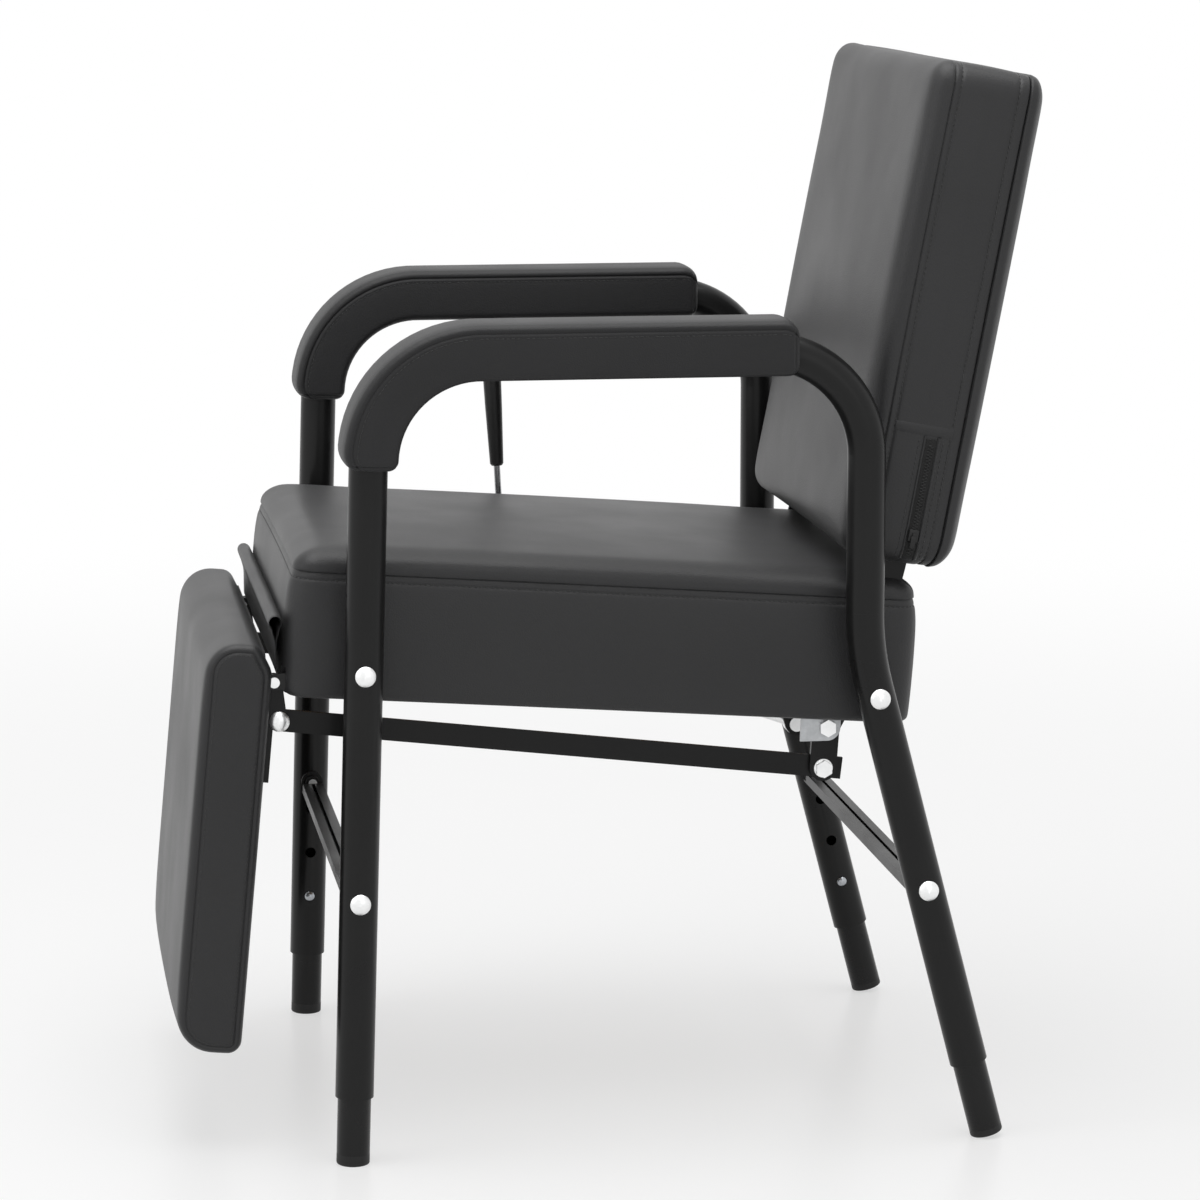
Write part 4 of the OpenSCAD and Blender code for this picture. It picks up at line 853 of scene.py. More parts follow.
@dataclass(kw_only=True)
class BoxedCushion(Pad):
    """A foam block in a sewn vinyl cover: a crowned face, a seam, drawn-in sides and a hollow for its board."""

    tilt: Tilt
    facing: Facing
    width: float
    length: float
    height: float
    corner: float
    roll_w: float
    roll_h: float
    crown: float
    hollow: float
    depth: float = 0.0
    middle: float = 0.0
    channels: tuple[Channel, ...] = ()
    lip: float = 2.2
    wall: float = 9.7
    waist: float = 1.6
    side_in: float = 2.4
    groove: bool = True
    foot_round: float = 3.0

    def place(self) -> Matrix:
        """Return the cushion's place in metres, from its own frame with its face upwards."""
        turn = Matrix.Rotation(math.radians(self.facing.value), 4, "X")
        return self.tilt.matrix() @ Matrix.Translation((0, self.depth * MM, self.middle * MM)) @ turn

    def face_point(self, x: float, y: float) -> tuple[Vector, Vector, float]:
        """Place a grid point of the sewn face.

        Args:
            x: The grid line across.
            y: The grid line along.

        Returns:
            The point, the outward direction in plan, and how far the waist draws it in.
        """
        half_x, half_y = self.width / 2 - self.lip, self.length / 2 - self.lip
        radius = self.corner - self.lip
        ax, ay = abs(x), abs(y)
        gap_x, gap_y = half_x - ax, half_y - ay
        edge = min(gap_x, gap_y)
        outward = Vector((1, 0, 0)) if gap_x <= gap_y else Vector((0, 1, 0))
        if gap_x < radius and gap_y < radius:
            u, v = 1 - gap_x / radius, 1 - gap_y / radius
            arc = Vector((u * math.sqrt(1 - v * v / 2), v * math.sqrt(1 - u * u / 2), 0))
            edge = radius * (1 - arc.length)
            outward = arc.normalized() if arc.length > 1e-6 else outward
            ax, ay = half_x - radius + radius * arc.x, half_y - radius + radius * arc.y
        draw_x = self.waist * (1 - (y / half_y) ** 2)
        draw_y = self.waist * (1 - (x / half_x) ** 2)
        ax -= draw_x * max(0.0, 1 - gap_x / WAIST_REACH) ** 2
        ay -= draw_y * max(0.0, 1 - gap_y / WAIST_REACH) ** 2
        share = min(max(edge, 0.0) / self.roll_w, 1.0)
        bump = (1 - (x / half_x) ** 2) * (1 - (y / half_y) ** 2)
        up = self.height + 0.4 + self.roll_h * math.sqrt(1 - (1 - share) ** 2) + self.crown * bump
        sign_x, sign_y = math.copysign(1, x), math.copysign(1, y)
        waist = draw_x if outward.x > outward.y else draw_y
        return (Vector((ax * sign_x, ay * sign_y, up)), Vector((outward.x * sign_x, outward.y * sign_y, 0)), waist)

    def rings(self) -> list[Ring]:
        """Space the rings of the side, from the seam down, under the foot and up the inner wall.

        Returns:
            The rings in that order.
        """
        top = self.height
        made = []
        if self.groove:
            made += [Ring(self.lip + inset, top - down, k == 1) for k, (inset, down) in enumerate(GROOVE)]
        start = top - (4.6 if self.groove else 0.8)
        run = start - self.foot_round
        count = max(1, round(run / SIDE_STEP))
        heights = {start - run * k / count: False for k in range(count + 1)}
        for channel in self.channels:
            heights = {h: s for h, s in heights.items() if abs(h - channel.height) > 2.6}
            heights.update({channel.height + d: False for d in (2.2, 1.0, -1.0, -2.2)})
            heights[channel.height] = True
        for height in sorted(heights, reverse=True):
            bend = abs(2 * height / top - 1)
            inset = self.side_in + 1.0 * bend ** 3
            inset += max(self.lip - self.side_in - 1.0, 0.0) * math.exp((height - start) / 9)
            for channel in self.channels:
                inset += channel.depth * math.exp(-((height - channel.height) / 1.1) ** 2)
            made.append(Ring(inset, height, any(abs(height - c.height) < 0.1 for c in self.channels),
                             0.3 + 0.7 * bend, heights[height]))
        for share in (0.6, 0.25, 0.0):
            up = self.foot_round * share
            inset = self.side_in + 1.0 + self.foot_round - math.sqrt(self.foot_round ** 2 - (self.foot_round - up) ** 2)
            made.append(Ring(inset, up, share < 0.5))
        if self.hollow:
            made += [Ring(self.wall, up, True) for up in (0.0, 3.0, self.hollow / 2, self.hollow)]
        return made

    def shell(self) -> tuple[BMesh, list[int], list[list[int]]]:
        """Build the cover: a grid for the face, then its border extruded ring by ring.

        Returns:
            The bmesh in the cushion's own frame in metres, the held vertices and those along each sewn ring.
        """
        xs, ys = grid_lines(self.width - 2 * self.lip), grid_lines(self.length - 2 * self.lip)
        last_x, last_y = len(xs) - 1, len(ys) - 1
        bm = bmesh.new()
        turn, held, row = (bm.verts.layers.int.new(name) for name in ("turn", "held", "row"))
        bmesh.ops.create_grid(bm, x_segments=last_x, y_segments=last_y, size=1.0)
        border: dict[int, tuple[Vector, Vector, float]] = {}
        for vertex in bm.verts:
            i = round((vertex.co.x + 1) / 2 * last_x)
            j = round((vertex.co.y + 1) / 2 * last_y)
            spot, outward, waist = self.face_point(xs[i], ys[j])
            vertex.co = spot * MM
            if i in (0, last_x) or j in (0, last_y):
                if j == 0:
                    number = i
                elif i == last_x:
                    number = last_x + j
                elif j == last_y:
                    number = last_x + last_y + (last_x - i)
                else:
                    number = 2 * last_x + last_y + (last_y - j)
                vertex[turn] = number + 1
                border[number + 1] = (spot, outward, waist)
        edges = [e for e in bm.edges if e.is_boundary]
        pucker, pucker_up, pucker_out, pucker_reach = PUCKER
        for index, ring in enumerate(self.rings(), start=1):
            grown = bmesh.ops.extrude_edge_only(bm, edges=edges)
            for vertex in new_of(grown, BMVert):
                spot, outward, waist = border[vertex[turn]]
                out = self.lip - ring.inset + waist * (1 - ring.waist)
                flat = Vector((spot.x, spot.y, 0)) + outward * out
                if ring.height > self.height - pucker_reach and not ring.sewn:
                    grain = Vector((spot.x / pucker, spot.y / pucker, ring.height / pucker_up))
                    flat += outward * pucker_out * noise.noise(grain)
                vertex.co = (flat + Vector((0, 0, ring.height))) * MM
                vertex[held] = int(ring.held)
                vertex[row] = index if ring.sewn else 0
            edges = [e for e in new_of(grown, BMEdge) if e.is_boundary]
        face_out(bm)
        bm.verts.index_update()
        sewn: dict[int, dict[int, int]] = {}
        for vertex in (v for v in bm.verts if v[row]):
            sewn.setdefault(vertex[row], {})[vertex[turn]] = vertex.index
        return bm, [v.index for v in bm.verts if v[held]], [[ring[k] for k in sorted(ring)] for ring in sewn.values()]

    def build(self) -> BVHTree:
        """Build the cushion at its place.

        Returns:
            The finished cushion's surface.
        """
        bm, held, seams = self.shell()
        bmesh.ops.transform(bm, matrix=self.place(), verts=bm.verts[:])
        return self.cover(bm, held, seams)


# The plane across X in which each arm of the back moves, and half its width in the side view
ARM_SLOT = (188.2, 195.6)
ARM_HALF = 15.5
# The lower part of an arm, from the pivot to its knee, and its lean in degrees
ARM_KNEE = 84
ARM_LEAN = 28


def spacer_places() -> list[Point]:
    """Find the side view's places of the seat's bolts, on the front and rear legs.

    Returns:
        The two places.
    """
    rail_mid, lean = 25.4, math.radians(SEAT.lean)
    up = SEAT.z + rail_mid * math.cos(lean)
    found = []
    for foot, slope in ((-219.8, math.tan(math.radians(1.77))), (321.8, -math.tan(math.radians(14.7)))):
        along = (foot + up * slope - SEAT.y - rail_mid * math.sin(lean)) / (math.cos(lean) + math.sin(lean) * slope)
        found.append(SEAT.point(along, rail_mid))
    return found


def seat_cutters() -> list[Object]:
    """Make the cutter of the seat: slots for the back's arms, holes for the spacers, notches for the hinge ears.

    Returns:
        The cutter.
    """
    bm = bmesh.new()
    lean, rear = math.radians(ARM_LEAN), 532
    knee = (PIVOT[0] + ARM_KNEE * math.sin(lean), PIVOT[1] + ARM_KNEE * math.cos(lean))
    foot, (low_y, low_z) = PIVOT[1] - 23, BACK.point(32.7, 0)
    prism(bm, [(PIVOT[0] - ARM_HALF, foot), (PIVOT[0] - ARM_HALF, PIVOT[1] + 11.5), (knee[0] - 17.5, knee[1]),
               (low_y - ARM_HALF, low_z), (low_y - ARM_HALF, low_z + 103), (rear, low_z + 103), (rear, foot)],
          *ARM_SLOT)
    for place in spacer_places():
        rod(bm, place, 20.6, 202, 232)
    block(bm, SEAT, (188.5, -300, -6), (198.3, -248.5, 19))
    both_sides(bm)
    return [cutter_from(bm)]


def back_cutters() -> list[Object]:
    """Make the cutters of the back.

    Returns:
        The channels for its arms and the pockets for their flanges.
    """
    made = []
    for low, high in (((ARM_SLOT[0], 17.2, -40), (ARM_SLOT[1], 90, 301.5)), ((165.2, 43.9, 56), (194.4, 58, 244))):
        bm = bmesh.new()
        block(bm, BACK, low, high)
        both_sides(bm)
        made.append(cutter_from(bm))
    return made


def legrest_cutters() -> list[Object]:
    """Make the cutter of the legrest, the recess for its board.

    Returns:
        The cutter.
    """
    bm = bmesh.new()
    block(bm, LEGREST, (-195.4, -12.4, -337.8), (195.4, 30, -10.3))
    return [cutter_from(bm)]


def tuck_back_foot(co: Vector) -> Vector:
    """Round the back's lower rear corner, where the cover is drawn round the foam.

    Args:
        co: A point of the cover in metres.

    Returns:
        The moved point.
    """
    tall, tuck, thickness = 34, 10, 73.0
    start, fade = 20, 40
    spot = BACK.matrix().inverted() @ co
    deep, high = spot.y / MM, max(spot.z / MM, 0.0)
    if high < tall and deep > start:
        limit = thickness - tuck * (1 - math.sqrt(1 - (1 - high / tall) ** 2))
        spot.y *= 1 - min((deep - start) / fade, 1.0) * (1 - limit / thickness)
    return BACK.matrix() @ spot


# ---- Legrest ----

@dataclass(frozen=True)
class Corner:
    """A rounded corner of a side view, in millimetres: depth, height and radius."""

    deep: float
    high: float
    radius: float


@dataclass(frozen=True)
class Hoop:
    """A ring round the legrest's pad: its X place, its inset, and whether it is held or sewn."""

    x: float
    inset: float
    held: bool = False
    sewn: bool = False


# From a side panel over its seam to the band, with X counted outwards from the pad's half width
PANEL_EDGE = (Hoop(0.5, 15.0), Hoop(0.4, 11.5), Hoop(0.1, 9.0, sewn=True), Hoop(-0.5, 7.4), Hoop(-1.7, 6.5, held=True),
              Hoop(-0.6, 5.6), Hoop(-0.5, 4.2), Hoop(-1.6, 2.4), Hoop(-3.4, 1.1), Hoop(-5.8, 0.3), Hoop(-9.0, 0.0))


@dataclass(kw_only=True)
class WrappedCushion(Pad):
    """The legrest's pad: one band of vinyl wrapped round its long side view and sewn to two flat side panels."""

    half: float = 205.0
    length: float = 348.0
    front: float = 49.5
    rear: float = 5.5
    swing: float = 29.5
    seat_front: float = -270.4
    crown: float = 1.6
    pitch: float = 9.0
    arc_steps: int = 9

    def bevel(self) -> tuple[Point, Point]:
        """Find the upper rear bevel, which meets the seat's soft front near full swing.

        Returns:
            Its upper and lower end as depth and height.
        """
        turn, lean = math.radians(self.swing), math.radians(LEGREST.lean)
        ends = []
        for up in (-51.5, 103):
            y, z = SEAT.point(self.seat_front, up)
            dy, dz = y - HINGE[0], z - HINGE[1]
            y = HINGE[0] + dy * math.cos(turn) - dz * math.sin(turn) - LEGREST.y
            z = HINGE[1] + dy * math.sin(turn) + dz * math.cos(turn) - LEGREST.z
            ends.append((y * math.cos(lean) - z * math.sin(lean), y * math.sin(lean) + z * math.cos(lean)))
        (y0, z0), (y1, z1) = ends
        slope = (y1 - y0) / (z1 - z0)
        return (y0 - z0 * slope, 0.0), (self.rear, z0 + (self.rear - y0) / slope)

    def corners(self) -> list[Corner]:
        """List the side view's corners.

        Returns:
            The corners, from the front of the top round the rear to the front of the foot.
        """
        top, low = self.bevel()
        return [Corner(-self.front, 0, 26), Corner(*top, 12), Corner(*low, 22),
                Corner(self.rear, -self.length, 12), Corner(-self.front, -self.length, 30)]

    def outline(self, inset: float) -> list[Point]:
        """Return the side view's outline, drawn in by an inset, with the same number of points for each inset.

        Args:
            inset: How far inside the full outline it lies.

        Returns:
            The points as depth and height in the legrest's frame.
        """
        full = self.corners()
        count = len(full)
        spots = [Vector((c.deep, c.high)) for c in full]
        ways = [(spots[(k + 1) % count] - spots[k]).normalized() for k in range(count)]
        arcs: list[list[Vector]] = []
        for k, corner in enumerate(full):
            before, after = ways[k - 1], ways[k]
            inner = [Vector((w.y, -w.x)) for w in (before, after)]
            spot = spots[k] + (inner[0] + inner[1]) * inset / (1 + inner[0].dot(inner[1]))
            radius = max(corner.radius - inset, 2.0)
            turn = before.angle(after)
            centre = spot + (inner[0] + inner[1]) * radius / (1 + inner[0].dot(inner[1]))
            arc = []
            for step in range(self.arc_steps + 1):
                angle = turn * step / self.arc_steps
                arc.append(centre - (inner[0] * math.cos(angle) - before * math.sin(angle)) * radius)
            arcs.append(arc)
        points: list[Vector] = []
        for k, arc in enumerate(arcs):
            points += arc
            following = arcs[(k + 1) % count][0]
            span = (spots[(k + 1) % count] - spots[k]).length
            steps = max(2, round((span - 40) / self.pitch))
            points += [arc[-1].lerp(following, n / steps) for n in range(1, steps)]
        return [(p.x, p.y) for p in points]

    def rings(self) -> list[Hoop]:
        """Space the pad's rings, from the right side panel over the band to the left one.

        Returns:
            The rings in that order.
        """
        flat = self.half + PANEL_EDGE[-1].x
        count = round(flat * 2 / self.pitch)
        band = [Hoop(flat * (2 * k / count - 1), 0.0) for k in range(1, count)]
        right = [replace(hoop, x=-(self.half + hoop.x)) for hoop in PANEL_EDGE]
        return right + band + [replace(hoop, x=-hoop.x) for hoop in reversed(right)]

    def build(self) -> BVHTree:
        """Sweep the outline across the legrest.

        Returns:
            The finished pad's surface.
        """
        rings = self.rings()
        outlines = [self.outline(ring.inset) for ring in rings]
        bm = bmesh.new()
        spot, row = (bm.verts.layers.int.new(name) for name in ("spot", "row"))
        made = bmesh.ops.create_circle(bm, segments=len(outlines[0]), radius=1.0)["verts"]
        for number, vertex in enumerate(made):
            vertex[spot] = number
        edges = bm.edges[:]
        for number, ring in enumerate(rings):
            if number:
                grown = bmesh.ops.extrude_edge_only(bm, edges=edges)
                made = new_of(grown, BMVert)
                edges = [e for e in new_of(grown, BMEdge) if e.is_boundary]
            bulge = self.crown * (1 - (ring.x / self.half) ** 2)
            for vertex in made:
                deep, high = outlines[number][vertex[spot]]
                ahead = bulge * min(max(-deep / self.front, 0.0), 1.0) ** 2
                vertex.co = Vector((ring.x, deep - ahead, high)) * MM
                vertex[row] = number
        face_out(bm)
        bm.verts.index_update()
        ends = (0, len(rings) - 1)
        # The board holds all that lies less than 8 mm in front of it
        held = [v.index for v in bm.verts if rings[v[row]].held or v[row] in ends or v.co.y > -8 * MM]
        seams = [[v.index for v in sorted((w for w in bm.verts if w[row] == k), key=lambda w: w[spot])]
                 for k, ring in enumerate(rings) if ring.sewn]
        bmesh.ops.transform(bm, matrix=LEGREST.matrix(), verts=bm.verts[:])
        return self.cover(bm, held, seams)


# ---- Arm pads ----

class Side(Enum):
    """The sitter's left or right, as the sign of X."""

    LEFT = 1
    RIGHT = -1


# The distances of the first sections from a pad's end, close together where the end is rounded and sewn
PAD_END_STEPS = (0.0, 0.5, 1.4, 2.6, 3.5, 4.2, 4.9, 5.8, 7.6, 10.2, 13.5, 18.0)
# The side panel's seam under the rolled top, as inset and height from the seam's line
PANEL_SEAM = ((0.7, 0.6), (1.9, -0.3), (0.9, -1.3), (0.5, -2.6), (0.9, -4.0), (0.5, -5.4))
# How many points from the middle of the top the seam's groove and its thread lie
GROOVE_POINT = 12
THREAD_POINT = 15


@dataclass(kw_only=True)
class ArmPad(Pad):
    """A padded vinyl sleeve round the frame tube, sewn along the upper edge of its side panels."""

    side: Side
    leg_x: float = 245.1
    half: float = 32.6
    out_level: float = 28.4
    in_level: float = 18.4
    out_front: float = 24.0
    in_front: float = 22.2
    channel: float = 16.3
    seam: float = 8.0
    roll: float = 8.5
    foot: float = 6.5
    rear_y: float = 149.0
    arc_centre: Point = (-114.62, 587.0)
    arc_radius: float = 87.0
    rake: float = 1.77
    front_z: float = 584.0
    step: float = 7.5

    def station(self, along: float) -> tuple[float, float, float, float]:
        """Find a place along the tube from the pad's rear end.

        Args:
            along: The distance along the tube.

        Returns:
            The place in the side view, the outward angle and the share of the level shape.
        """
        (y, z), radius = self.arc_centre, self.arc_radius
        level = self.rear_y - y
        arc = radius * math.radians(90 - self.rake)
        if along <= level:
            return self.rear_y - along, z + radius, math.pi / 2, 1.0
        if along <= level + arc:
            angle = math.pi / 2 + (along - level) / radius
            return y + radius * math.cos(angle), z + radius * math.sin(angle), angle, 1 - (along - level) / arc
        rake = math.radians(self.rake)
        angle = math.pi - rake
        rest = along - level - arc
        return (y + radius * math.cos(angle) - rest * math.sin(rake),
                z + radius * math.sin(angle) - rest * math.cos(rake), angle, 0.0)

    def reach(self) -> float:
        """Measure the pad's length along the tube.

        Returns:
            The length in millimetres.
        """
        rake = math.radians(self.rake)
        arc_end = self.arc_centre[1] + self.arc_radius * math.sin(rake)
        return (self.rear_y - self.arc_centre[0] + self.arc_radius * math.radians(90 - self.rake)
                + (arc_end - self.front_z) / math.cos(rake))

    def skin_half(self, half: float, out: float, low: float) -> list[Point]:
        """Draw the outer skin's half section, from the middle of the top to the lower inner edge.

        Args:
            half: The pad's half width here.
            out: The height of its top above the tube's middle.
            low: The depth of its foot under the tube's middle.

        Returns:
            The points as distance across and height.
        """
        roll, foot, drop = self.roll, self.foot, self.seam
        points = [(half * s, out - 0.9 * s * s) for s in (0, 0.12, 0.24, 0.36, 0.48, 0.6)]
        for k in range(1, 6):
            turn = k / 6 * math.pi / 2
            points.append((half - roll + (roll - 0.3) * math.sin(turn),
                           out - 0.9 - (drop - 2.0) * (1 - math.cos(turn))))
        points += [(half - inset, out - drop + up) for inset, up in PANEL_SEAM]
        top = out - drop + PANEL_SEAM[-1][1]
        points += [(half - 0.5 + 0.3 * math.sin(math.pi * s), top + (foot - low - top) * s)
                   for s in (0.2, 0.4, 0.6, 0.8, 1)]
        edge = half - 7.0
        for k in range(1, 6):
            turn = k / 5 * math.pi / 2
            points.append((edge + foot * math.cos(turn), foot - low - foot * math.sin(turn)))
        points += [(edge + (self.channel + 0.9 - edge) * s, -low) for s in (0.35, 0.7, 1.0)]
        return points

    def tube_half(self, low: float, count: int) -> list[Point]:
        """Draw the channel's half section.

        Args:
            low: The depth of the pad's foot.
            count: How many points it has, as many as the skin.

        Returns:
            The points as distance across and height.
        """
        around = count // 2
        points = [(self.channel * math.sin(math.pi / 2 * k / around), self.channel * math.cos(math.pi / 2 * k / around))
                  for k in range(around + 1)]
        rest = count - around - 1
        points += [(self.channel, -low * k / rest) for k in range(1, rest + 1)]
        return points

    def section(self, along: float) -> tuple[list[Point], list[Point]]:
        """Draw the section at a place, from the right lower edge over the top.

        Args:
            along: The distance along the tube.

        Returns:
            The skin and the channel.
        """
        level = self.station(along)[3]
        end = min(along, self.reach() - along)

        def rounding(radius: float) -> float:
            """Return how far an end of that radius draws the skin in here."""
            return 0.0 if end >= radius else radius - math.sqrt(radius ** 2 - (radius - end) ** 2)

        # The side panels' seam runs round the ends too, 4.2 mm from the tip
        half = self.half - rounding(7.0) - 1.1 * math.exp(-((end - 4.2) / 0.8) ** 2)
        out = self.out_front + (self.out_level - self.out_front) * level - rounding(14.0) * 0.95
        low = self.in_front + (self.in_level - self.in_front) * level - rounding(10.0) * 0.8
        skin = self.skin_half(half, out, low)
        core = self.tube_half(low, len(skin))
        return [(-x, y) for x, y in reversed(skin[1:])] + skin, [(-x, y) for x, y in reversed(core[1:])] + core

    def build(self) -> BVHTree:
        """Sweep the section along the tube.

        Returns:
            The finished pad's surface.
        """
        reach = self.reach()
        run = reach - 2 * PAD_END_STEPS[-1]
        count = round(run / self.step)
        stops = list(PAD_END_STEPS) + [PAD_END_STEPS[-1] + run * k / count for k in range(1, count)]
        stops += [reach - e for e in reversed(PAD_END_STEPS)]
        wide = len(self.section(0.0)[0])
        bm = bmesh.new()
        spot, inner, place = (bm.verts.layers.int.new(name) for name in ("spot", "inner", "place"))
        bmesh.ops.create_grid(bm, x_segments=wide - 1, y_segments=1, size=1.0)
        for vertex in bm.verts:
            vertex[spot] = round((vertex.co.x + 1) / 2 * (wide - 1))
            vertex[inner] = int(vertex.co.y > 0)

        def set_ring(verts: Sequence[BMVert], number: int) -> None:
            """Move a ring's vertices to a station.

            Args:
                verts: The vertices.
                number: The station's number.
            """
            y, z, angle, _ = self.station(stops[number])
            rings = self.section(stops[number])
            for vertex in verts:
                across, up = rings[vertex[inner]][vertex[spot]]
                vertex.co = Vector((self.side.value * (self.leg_x + across), y + up * math.cos(angle),
                                    z + up * math.sin(angle))) * MM
                vertex[place] = number

        set_ring(list(bm.verts), 0)
        faces = bm.faces[:]
        for number in range(1, len(stops)):
            grown = bmesh.ops.extrude_face_region(bm, geom=faces)
            set_ring(new_of(grown, BMVert), number)
            faces = new_of(grown, BMFace)
        face_out(bm)
        bm.verts.index_update()
        middle = (wide - 1) // 2
        held, seams = [], {}
        for vertex in bm.verts:
            away = abs(vertex[spot] - middle)
            if vertex[inner] or abs(away - GROOVE_POINT) < 1 or away == THREAD_POINT or away >= middle - 1:
                held.append(vertex.index)
            if not vertex[inner] and away == THREAD_POINT and 7 < vertex[place] < len(stops) - 8:
                seams.setdefault(vertex[spot], {})[vertex[place]] = vertex.index
        return self.cover(bm, held, [[seam[k] for k in sorted(seam)] for seam in seams.values()])


# ---- Gap flap ----

@dataclass
class GapFlap:
    """A strip of vinyl folded to a loop, which closes the gap between the seat and the legrest."""

    half_width: float = 200.0
    loop: float = 6.1
    loop_z: float = 450.0
    neck_z: float = 431.0
    low_z: float = 409.0
    thick: float = 1.2
    opening: float = 52.0
    leg_steps: int = 4
    loop_steps: int = 16
    across: int = 44

    def middle_y(self) -> float:
        """Return the loop's place in front of the seat's face."""
        return SEAT.point(-268.5, 51.5)[0] - 6.3

    def outline(self) -> list[Point]:
        """Draw the strip's middle line in the side view, from the front lower edge over the loop.

        Returns:
            The points in millimetres.
        """
        y, steps = self.middle_y(), self.leg_steps
        half = self.thick / 2 + 0.1
        points = [(y - half, self.low_z + (self.neck_z - self.low_z) * k / steps) for k in range(steps)]
        start = math.radians(-self.opening)
        foot = (y - self.loop * math.cos(start), self.loop_z + self.loop * math.sin(start))
        for k in range(steps):
            share = k / steps
            ease = share * share * (3 - 2 * share)
            points.append((y - half + (foot[0] - y + half) * ease, self.neck_z + (foot[1] - self.neck_z) * share))
        back = [(2 * y - a, b) for a, b in reversed(points)]
        for k in range(self.loop_steps + 1):
            angle = math.pi - start + (-math.pi + 2 * start) * k / self.loop_steps
            points.append((y + self.loop * math.cos(angle), self.loop_z + self.loop * math.sin(angle)))
        return points + back

    def build(self) -> None:
        """Fold the strip and give it its thickness and a slight wave."""
        line = self.outline()
        bm = bmesh.new()
        bmesh.ops.create_grid(bm, x_segments=self.across, y_segments=len(line) - 1, size=1.0)
        for vertex in bm.verts:
            k = round((vertex.co.y + 1) / 2 * (len(line) - 1))
            y, z = line[k]
            x = self.half_width * vertex.co.x
            loose = max(0.0, (z - self.neck_z) / (self.loop_z - self.neck_z + self.loop))
            wave = 0.5 * noise.noise(Vector((x / 55, k / 7, 3.1))) * loose
            vertex.co = Vector((x, y + wave * 0.4, z + wave)) * MM
        face_out(bm)
        bmesh.ops.solidify(bm, geom=bm.faces[:], thickness=self.thick * MM)
        flap = finished("gap_flap_loop", bm, FLAP_VINYL)
        refine(flap)
        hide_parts("gap_flap")
        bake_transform(flap)


# ---- Back's sewn details ----

